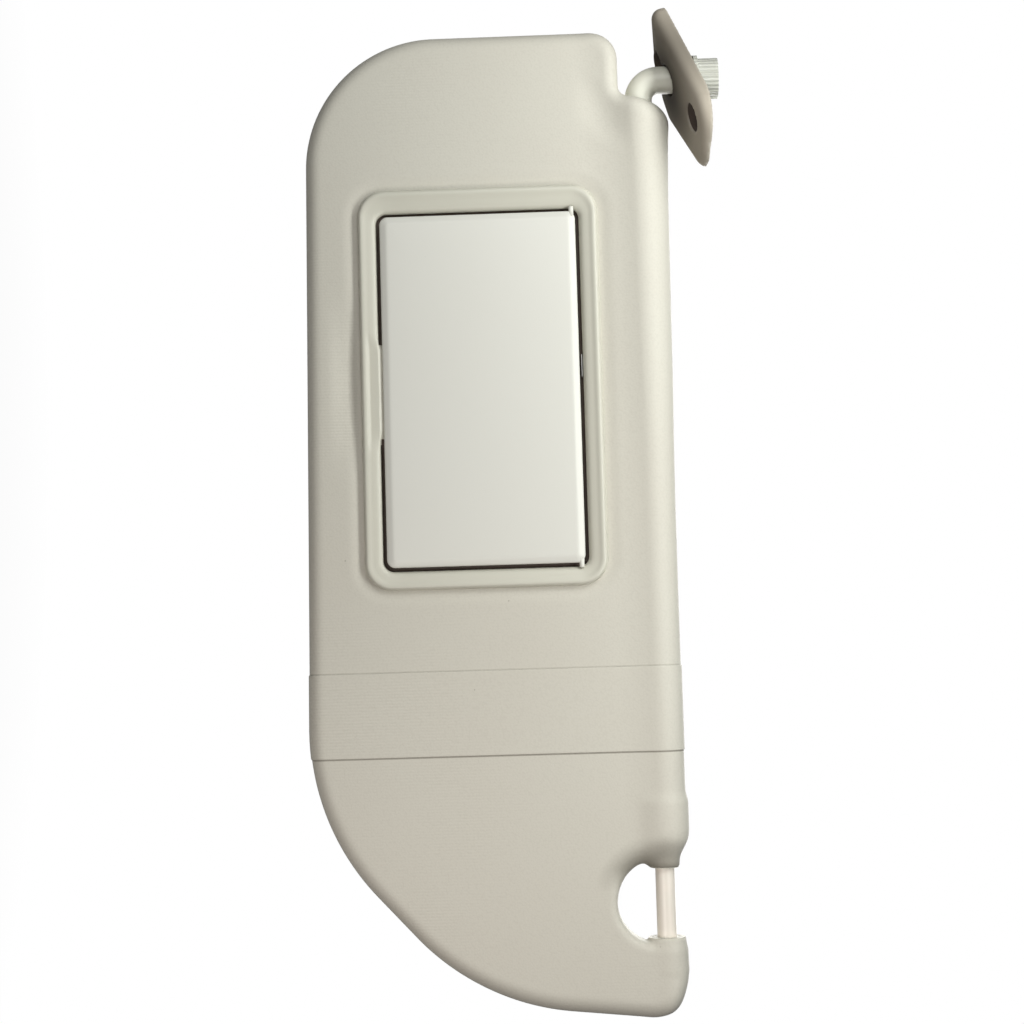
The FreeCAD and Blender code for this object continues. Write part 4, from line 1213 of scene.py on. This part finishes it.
@dataclass
class MirrorUnit:
    """The bezel with its finger dip, the lid that hinges in it, and what lies under the lid."""

    plan: BezelPlan = BezelPlan()
    crest: float = -9.6
    crease: float = -6.5
    ledge: float = -6.75
    gutter: float = -4.6
    mouth_room: float = 0.3
    lid_room: float = 0.2
    finger_middle: float = 129.5
    finger_reach: float = 24.0
    finger_share: float = 0.56
    flat_share: float = 0.3
    finger_level: float = -8.2
    # the gutter's rings, and the level above which their faces get the painted shade material
    gutter_rings: tuple[int, int] = (15, 17)
    gutter_level: float = -6.9
    swing_room: float = 0.9
    lid_face: float = -9.8
    lid_back: float = -7.3
    lid_corner: float = 3.5
    lid_bevel: float = 3.6
    pin_across: float = -8.1
    pin_height: float = -29.4
    pin_radius: float = 1.0

    def loop(self, edges: tuple[float, float, float, float], corner: float) -> np.ndarray:
        """A rounded rectangle with many points, the same number for every size.

        Args:
            edges: Its start, end, low and high.
            corner: Its round.

        Returns:
            The points as x and z.
        """
        start, end, low, high = edges
        points = []
        arcs = 14
        for cx, cz, first in ((start, low, 180), (end, low, 270), (end, high, 0), (start, high, 90)):
            mx = cx + corner if cx == start else cx - corner
            mz = cz + corner if cz == low else cz - corner
            for k in range(arcs + 1):
                angle = math.radians(first + 90 * k / arcs)
                points.append((mx + corner * math.cos(angle), mz + corner * math.sin(angle)))
        corners = np.array(points)
        sides = (60, 34, 60, 34)
        result = []
        for side in range(4):
            block = corners[side * (arcs + 1):(side + 1) * (arcs + 1)]
            after = corners[((side + 1) * (arcs + 1)) % len(corners)]
            result.extend(block)
            shares = np.linspace(0, 1, sides[side] + 2)[1:-1]
            result.extend(block[-1] + (after - block[-1]) * s for s in shares)
        return np.array(result)

    def bezel_rings(self) -> list[np.ndarray]:
        """The bezel's skin, from its outer crease over the bead and down to the ledge round the glass.

        Returns:
            The rings.
        """
        plan = self.plan
        outer = self.loop(plan.outer(), plan.corner)
        gap = plan.gap + self.mouth_room
        mouth = (plan.lid_start - gap, plan.lid_end + gap, plan.lid_low - gap, plan.lid_high + gap)
        inner = self.loop(mouth, 4.2)
        span = self.crest - self.crease
        profile = [(1.0, self.crease + 1.2), (1.0, self.crease), (0.985, self.crease + 0.35 * span),
                   (0.95, self.crease + 0.66 * span), (0.9, self.crease + 0.88 * span),
                   (0.84, self.crease + 0.985 * span), (0.78, self.crest), (0.71, self.crest + 0.1),
                   (0.63, self.crest + 0.4), (0.55, self.crest + 0.7), (0.45, self.crest + 0.92),
                   (0.3, self.crest + 1.2), (0.18, self.crest + 1.6), (0.1, self.crest + 2.1),
                   (0.04, self.crest + 2.7), (0.0, self.crest + 3.4)]
        along = inner[:, 0]
        near, far = self.finger_middle - self.finger_reach, self.finger_middle + self.finger_reach
        dip = smooth_step(near, near + 4.0, along) * smooth_step(far, far - 9.0, along)
        dip = dip * (inner[:, 1] < plan.lid_low + 1)
        fall = 1 - self.flat_share * smooth_step(plan.lid_low + 6.0, plan.lid_low - 0.5, inner[:, 1])
        rings = []
        for share, height in profile:
            level = np.full(len(inner), height)
            if height > self.crest and share < 0.75:
                level = self.crest + (level - self.crest) * (fall if share > 0.01 else 1.0)
            if share < self.finger_share:
                level = level + dip * (self.finger_level - level)
            flat = inner + (outer - inner) * share
            rings.append(np.column_stack([flat[:, 0], level, flat[:, 1]]))
        floor = [(0.0, self.gutter - 0.3), (0.3, self.gutter), (1.9, self.gutter), (2.1, self.gutter - 0.3),
                 (2.2, self.ledge + 0.2), (2.4, self.ledge), (6.0, self.ledge), (6.3, self.ledge + 0.3),
                   (6.4, -4.3)]
        for inset, height in floor:
            edges = (mouth[0] + inset, mouth[1] - inset, mouth[2] + inset, mouth[3] - inset)
            flat = self.loop(edges, max(4.2 - inset, 1.2))
            dipped = self.finger_level if inset < 1.0 else min(height, self.ledge)
            level = height + dip * (dipped - height) * (inset < 2.3)
            near_hinge = inner[:, 1] > plan.lid_high - 3.0
            level = level + self.swing_room * (inset > 2.15) * (inset < 3.0) * near_hinge
            rings.append(np.column_stack([flat[:, 0], level, flat[:, 1]]))
        return rings

    def build_bezel(self, wardrobe: Wardrobe) -> bpy.types.Object:
        """Build the bezel's skin and its back.

        Args:
            wardrobe: The finishes.

        Returns:
            The bezel.
        """
        rings = self.bezel_rings()
        points, faces = rings_mesh(rings, False, False)
        bezel = mesh_piece("mirror_surround", points, faces)
        self.face_front(bezel)
        wardrobe.dress(bezel, Look.BEZEL)
        # the gutter's faces get the dark recess material: painted shade in the gap round the lid
        bezel.data.materials.append(wardrobe.get(Look.SHADED_RECESS))
        around = len(rings[0])
        first, last = self.gutter_rings
        for face in bezel.data.polygons:
            if first <= face.index // around <= last and face.center.y > self.gutter_level * MM:
                face.material_index = 1
        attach(bezel, "blade")
        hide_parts("mirror_bezel")
        return bezel

    @staticmethod
    def face_front(thing: bpy.types.Object) -> None:
        """Turn an open skin's faces to the front, if most look back."""
        looks = sum(p.normal.y * p.area for p in thing.data.polygons)
        if looks > 0:
            thing.data.flip_normals()

    def build_lid(self, wardrobe: Wardrobe) -> bpy.types.Object:
        """Build the lid: a pillowed panel, hollow behind, with its two hinge pins.

        Args:
            wardrobe: The finishes.

        Returns:
            The lid.
        """
        plan = self.plan
        drop = self.lid_back - self.lid_face
        side = drop - 0.4
        profile = [(4.6, side), (2.3, side), (2.1, side + 0.1), (2.0, drop), (0.25, drop), (0.0, drop - 0.2),
                   (0.0, 1.45), (0.12, 1.18), (0.4, 0.98), (1.0, 0.74), (1.6, 0.49), (2.2, 0.25), (2.7, 0.09),
                   (3.2, 0.02), (self.lid_bevel + 0.3, 0.0), (12.0, 0.0)]
        rings = []
        for inset, depth in profile:
            inset += self.lid_room
            edges = (plan.lid_start + inset, plan.lid_end - inset, plan.lid_low + inset, plan.lid_high - inset)
            flat = self.loop(edges, max(self.lid_corner - inset * 0.75, 0.6))
            rings.append(np.column_stack([flat[:, 0], np.full(len(flat), self.lid_face + depth), flat[:, 1]]))
        points, faces = rings_mesh(rings, True, True)
        for end, way in ((plan.lid_start, -1.0), (plan.lid_end, 1.0)):
            start = (end - way * 2.5, self.pin_across, self.pin_height)
            radius = self.pin_radius
            pin = [(0.0, radius), (4.0, radius), (4.3, radius * 0.75)]
            more, pin_faces = lathe_mesh(pin, start, (way, 0.0, 0.0), 20)
            faces += [[i + len(points) for i in f] for f in pin_faces]
            points = np.concatenate([points, more])
        lid = outward(mesh_piece("lid_panel", points, faces))
        wardrobe.dress(lid, Look.LID)
        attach(lid, "lid")
        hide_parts("mirror_lid")
        return lid

    def build(self, wardrobe: Wardrobe) -> None:
        """Build the whole unit."""
        self.build_bezel(wardrobe)
        self.build_lid(wardrobe)


# ---- Pieces kept from the solids -----------------------------------------------------------

@dataclass(frozen=True)
class KeptPieces:
    """The solids whose shape is right as it is, each with its finish."""

    looks: tuple[tuple[str, Look], ...] = (
        ("mount_plate", Look.BRACKET), ("pivot_bush", Look.BUSH), ("arm_core", Look.STEEL),
        ("arm_sleeve", Look.ARM),
        ("spring_washer", Look.STEEL), ("push_nut", Look.STEEL), ("retaining_ring", Look.STEEL),
        ("foam_core", Look.FOAM), ("wire_frame", Look.STEEL), ("clamp_housing", Look.HOUSING),
        ("torque_spring", Look.STEEL), ("clip_rod", Look.ROD), ("rear_socket", Look.SOCKET),
        ("front_socket", Look.SOCKET), ("mirror_pad", Look.TAPE), ("mirror_glass", Look.MIRROR),
        ("lid_spring", Look.STEEL), ("ticket_strap", Look.COVER), ("skin_front", Look.COVER),
        ("skin_back", Look.COVER), ("mirror_bezel", Look.BEZEL), ("mirror_lid", Look.LID))

    def dress(self, nodes: dict[str, bpy.types.Object], wardrobe: Wardrobe) -> None:
        """Give every solid its finish.

        Args:
            nodes: The solids by name.
            wardrobe: The finishes.
        """
        for name, look in self.looks:
            wardrobe.dress(nodes[name], look)
            LOG.info("dressed %s as %s", name, look.value.name)


# ---- Roof plate ----------------------------------------------------------------------------

@dataclass
class RoofPlate:
    """The leaning plate that screws to the roof: thick, soft-edged, hollow and ribbed behind."""

    box: tuple[Point, Point] = ((-34.0, -36.0, ROD_DROP - 26.0), (44.0, 24.0, ROD_DROP + 12.0))
    drop: float = 5.2
    rise_along: float = 15.1
    rise_across: float = 8.8
    thickness: float = 7.0
    edge_round: float = 4.0
    wall: float = 2.6
    rib_half: float = 0.9
    rib_step: float = 0.8
    relief_start: float = 12.0
    relief_angle: float = 10.0
    screw_radius: float = 2.8
    head_radius: float = 6.0
    head_depth: float = 4.2
    sleeve_room: float = 6.5
    bush_radius: float = 8.4
    bush_low: float = -8.65
    shoulder_radius: float = 9.6
    shoulder_low: float = -1.65
    swing_room: float = 0.9
    outline: tuple[Point, ...] = (
        (-25.7, -1.5, 5.2), (-9.4, 10.9, 8.4), (8.0, 8.7, 9.0), (29.6, -11.4, 10.8), (20.9, -18.4, 13.0))
    holes: tuple[tuple[float, float], ...] = ((-10.8, 8.0), (20.5, -17.3))
    rib_angles: tuple[float, ...] = (75.0, 160.0, 215.0, 265.0, 345.0)

    def __post_init__(self) -> None:
        """Work out the plate's lean and its outline."""
        along, across = (math.tan(math.radians(angle)) for angle in (self.rise_along, self.rise_across))
        normal = Vector((-along, across, 1.0)).normalized()
        self.turn = np.array(Vector((0.0, 0.0, 1.0)).rotation_difference(normal).to_matrix())
        self.loop = self.wrapped()

    def wrapped(self) -> np.ndarray:
        """The outline, wrapped tightly round its circles.

        Returns:
            The outline's points.
        """
        points = []
        for angle in np.linspace(0, 2 * math.pi, 180, endpoint=False):
            way = np.array([math.cos(angle), math.sin(angle)])
            far = max(self.outline, key=lambda c: c[0] * way[0] + c[1] * way[1] + c[2])
            points.append(np.array(far[:2]) + far[2] * way)
        return np.array(points)

    def local(self, points: np.ndarray) -> np.ndarray:
        """Points in the plate's own frame, whose roof side is at z = 0."""
        return (points + [0.0, 0.0, self.drop - ROD_DROP]) @ self.turn

    def stays(self, x: np.ndarray, y: np.ndarray, z: np.ndarray) -> np.ndarray:
        """The pillars and ribs that stand in the hollow.

        Args:
            x: Places along the plate.
            y: Places across it.
            z: Heights over its roof side.

        Returns:
            The signed distances.
        """
        near = np.hypot(x, y) - self.shoulder_radius - self.wall
        for hx, hy in self.holes:
            near = np.minimum(near, np.hypot(x - hx, y - hy) - self.head_radius - self.wall / 2)
        for angle in self.rib_angles:
            way = (math.cos(math.radians(angle)), math.sin(math.radians(angle)))
            rib = np.maximum(np.abs(way[0] * y - way[1] * x) - self.rib_half, -(way[0] * x + way[1] * y))
            near = np.minimum(near, rib)
        return np.maximum(near, z + self.rib_step)

    def distance(self, points: np.ndarray) -> np.ndarray:
        """The distance from the plate's surface, negative inside.

        Args:
            points: Rows of x, y and z in millimetres, from the rod's axis.

        Returns:
            The signed distances.
        """
        x, y, z = self.local(points).T
        rim = BladeCover.outline_distance(self.loop, x, y)
        lower = self.swing_room * smooth_step(10.0, 17.0, 0.8 * y - 0.6 * x)
        body = round_max(rim, lower - z - self.thickness, self.edge_round)
        body = round_max(body, z, 0.5)
        lean = math.radians(self.relief_angle)
        relief = z * math.cos(lean) + (x - self.relief_start) * math.sin(lean)
        body = np.maximum(body, relief)
        hollow = np.maximum(rim + self.wall, self.wall - self.thickness - z)
        body = np.maximum(body, -np.maximum(hollow, -self.stays(x, y, z)))
        turned = np.hypot(points[:, 0], points[:, 1])
        height = points[:, 2] - ROD_DROP
        seat = np.maximum(height - self.shoulder_low, -z - self.thickness / 2)
        body = np.minimum(body, np.maximum(turned - self.shoulder_radius, seat))
        for hx, hy in self.holes:
            away = np.hypot(x - hx, y - hy)
            body = np.maximum(body, self.screw_radius - away)
            head = np.maximum(away - self.head_radius, z + self.thickness - self.head_depth)
            body = round_max(body, -head, 0.4)
        bores = np.minimum(turned - self.sleeve_room,
                           np.maximum(turned - self.bush_radius, self.bush_low - height))
        shoulder = np.maximum(turned - self.shoulder_radius - 0.15, self.shoulder_low - height)
        return np.maximum(body, -np.minimum(bores, shoulder))

    def build(self, wardrobe: Wardrobe) -> bpy.types.Object:
        """Build the plate, with a dark painted shade inside its screw holes.

        Args:
            wardrobe: The finishes.

        Returns:
            The plate.
        """
        points, faces = FormMesher(0.75).mesh(self.distance, *self.box)
        count = len(faces)
        faces = faces.tolist()
        # liners inside the screw holes, which carry the painted shade
        for hx, hy in self.holes:
            start = self.turn @ [hx, hy, -self.thickness] - [0.0, 0.0, self.drop - ROD_DROP]
            well, depth = self.head_radius - 0.15, self.head_depth - 0.12
            bore, end = self.screw_radius - 0.15, self.thickness - 2.8
            profile = [(0.7, well + 0.3), (0.7, well), (depth, well), (depth, bore), (end, bore),
                       (end, self.screw_radius + 0.2)]
            more, more_faces = lathe_mesh(profile, tuple(start), tuple(self.turn[:, 2]), 40)
            faces += [[k + len(points) for k in face][::-1] for face in more_faces[:-2]]
            points = np.concatenate([points, more])
        plate = mesh_piece("roof_plate", points, faces)
        wardrobe.dress(plate, Look.BRACKET)
        # the liners get the dark recess material: painted shade in the holes
        plate.data.materials.append(wardrobe.get(Look.SHADED_RECESS))
        plate.data.polygons.foreach_set("material_index", [int(k >= count) for k in range(len(faces))])
        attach(plate, "bracket")
        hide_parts("mount_plate")
        return plate


# ---- Studio --------------------------------------------------------------------------------

@dataclass
class Lamp:
    """A soft lamp, long along the rod."""

    name: str
    place: Point
    target: Point
    length: float
    width: float
    power: float
    colour: tuple[float, float, float] = (1.0, 1.0, 1.0)

    def build(self) -> None:
        """Hang the lamp and turn it to its target."""
        data = bpy.data.lights.new(self.name, "AREA")
        data.shape, data.size, data.size_y = "RECTANGLE", self.length, self.width
        data.energy, data.color = self.power, self.colour
        lamp = bpy.data.objects.new(self.name, data)
        bpy.context.scene.collection.objects.link(lamp)
        away = (Vector(self.place) - Vector(self.target)).normalized()
        across = away.cross(Vector((1.0, 0.0, 0.0))).normalized()
        turn = Matrix((across.cross(away), across, away)).transposed()
        lamp.matrix_world = Matrix.Translation(self.place) @ turn.to_4x4()
        lamp.visible_camera = False


@dataclass
class Studio:
    """Camera, lamps, pale floor and white surroundings."""

    lens: float = 68.59
    camera_place: Point = (0.242617, -0.794435, -0.061099)
    right: Point = (0.028892, 0.028487, 0.999177)
    up: Point = (-0.996269, -0.080513, 0.031103)
    ahead: Point = (-0.081332, 0.996347, -0.026054)
    floor_height: float = -0.5
    ambient: float = 0.04
    lamps: tuple[Lamp, ...] = (
        Lamp("key", (0.08, -0.21, 0.155), (0.12, 0.0, 0.01), 0.55, 0.08, 1.31, (0.985, 1.0, 0.975)),
        Lamp("fill", (0.39, -0.32, -0.17), (0.375, 0.0, -0.07), 0.18, 0.18, 0.5, (1.0, 0.92, 0.87)),
        Lamp("top", (-0.1, -0.32, -0.03), (0.0, 0.0, -0.08), 0.2, 0.2, 0.43, (0.99, 1.0, 0.98)),
        Lamp("back", (0.17, 0.36, 0.06), (0.18, 0.0, -0.08), 0.5, 0.3, 1.5, (1.0, 1.0, 0.98)),
    )

    def build_camera(self) -> None:
        """Set up the camera at the photograph's angle."""
        data = bpy.data.cameras.new("camera")
        data.lens, data.sensor_width = self.lens, 36.0
        data.clip_start, data.clip_end = 0.05, 20.0
        camera = bpy.data.objects.new("camera", data)
        bpy.context.scene.collection.objects.link(camera)
        turn = Matrix((self.right, self.up, [-a for a in self.ahead])).transposed()
        camera.matrix_world = Matrix.Translation(self.camera_place) @ turn.to_4x4()
        bpy.context.scene.camera = camera

    def build_floor(self) -> None:
        """Lay a wide pale floor that keeps the object's shadow."""
        half = 3.0
        corners = [(-half, -half, 0), (half, -half, 0), (half, half, 0), (-half, half, 0)]
        mesh = bpy.data.meshes.new("floor")
        mesh.from_pydata([(x, y, self.floor_height) for x, y, _ in corners], [], [(0, 1, 2, 3)])
        floor = bpy.data.objects.new("floor", mesh)
        bpy.context.scene.collection.objects.link(floor)
        made = bpy.data.materials.new("pale_floor")
        made.use_nodes = True
        tree = Tree(made.node_tree.nodes, made.node_tree.links)
        shader = next(n for n in tree.nodes if n.type == "BSDF_PRINCIPLED")
        tree.feed(shader, Base_Color=(0.5, 0.5, 0.5, 1), Roughness=0.8, Specular_IOR_Level=0.2)
        glow = tree.feed(tree.add("ShaderNodeEmission"), Color=(1, 1, 1, 1), Strength=1.0)
        mix = tree.add("ShaderNodeMixShader")
        place = tree.place()
        reach = tree.feed(tree.add("ShaderNodeVectorMath", operation="LENGTH"), in0=place)
        share = tree.ramp(reach.outputs["Value"], 0.5, 1.0, 0.86, 1.0)
        tree.feed(mix, in0=tree.maths("MULTIPLY", self.seen(tree), share), in1=shader.outputs[0],
                  in2=glow.outputs[0])
        output = next(n for n in tree.nodes if n.type == "OUTPUT_MATERIAL")
        tree.feed(output, Surface=mix.outputs[0])
        mesh.materials.append(made)

    @staticmethod
    def seen(tree: Tree) -> bpy.types.NodeSocket:
        """Whether the ray is one that shows the surroundings, directly or in a gloss.

        Args:
            tree: The tree to build in.

        Returns:
            A socket with 1 for such a ray.
        """
        path = tree.add("ShaderNodeLightPath")
        gloss = tree.maths("MULTIPLY", path.outputs["Is Glossy Ray"], GLOSS_SHARE)
        return tree.maths("MAXIMUM", path.outputs["Is Camera Ray"], gloss)

    def build_world(self) -> None:
        """Make the surroundings white to look at, and softly grey as a light."""
        world = bpy.data.worlds.new("surroundings")
        world.use_nodes = True
        tree = Tree(world.node_tree.nodes, world.node_tree.links)
        tree.nodes.clear()
        shade = tree.add("ShaderNodeBackground")
        strength = tree.ramp(self.seen(tree), 0.0, 1.0, self.ambient, 1.0)
        tree.feed(shade, Color=(1, 1, 1, 1), Strength=strength)
        tree.feed(tree.add("ShaderNodeOutputWorld"), Surface=shade.outputs[0])
        bpy.context.scene.world = world

    def build(self) -> None:
        """Set up everything round the object."""
        bpy.context.scene.view_settings.view_transform = "Standard"
        self.build_camera()
        self.build_floor()
        self.build_world()
        for lamp in self.lamps:
            lamp.build()


def main() -> None:
    """Load the frame, build every piece, and set up the studio."""
    logging.basicConfig(level=logging.INFO, format="%(name)s: %(message)s")
    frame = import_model()
    wardrobe = Wardrobe(ShaderGroups())
    KeptPieces().dress(frame["nodes"], wardrobe)
    cover = BladeCover()
    made = cover.build(wardrobe)
    LOG.info("cover: %d faces", len(made.data.polygons))
    FoamFill(cover).build(wardrobe)
    LOG.info("foam built")
    TicketStrap(cover=cover).build(wardrobe)
    LOG.info("strap built")
    RoofPlate().build(wardrobe)
    LOG.info("roof plate built")
    MirrorUnit().build(wardrobe)
    LOG.info("mirror unit built")
    Studio().build()
    LOG.info("studio set up")


if __name__ == "__main__":
    main()
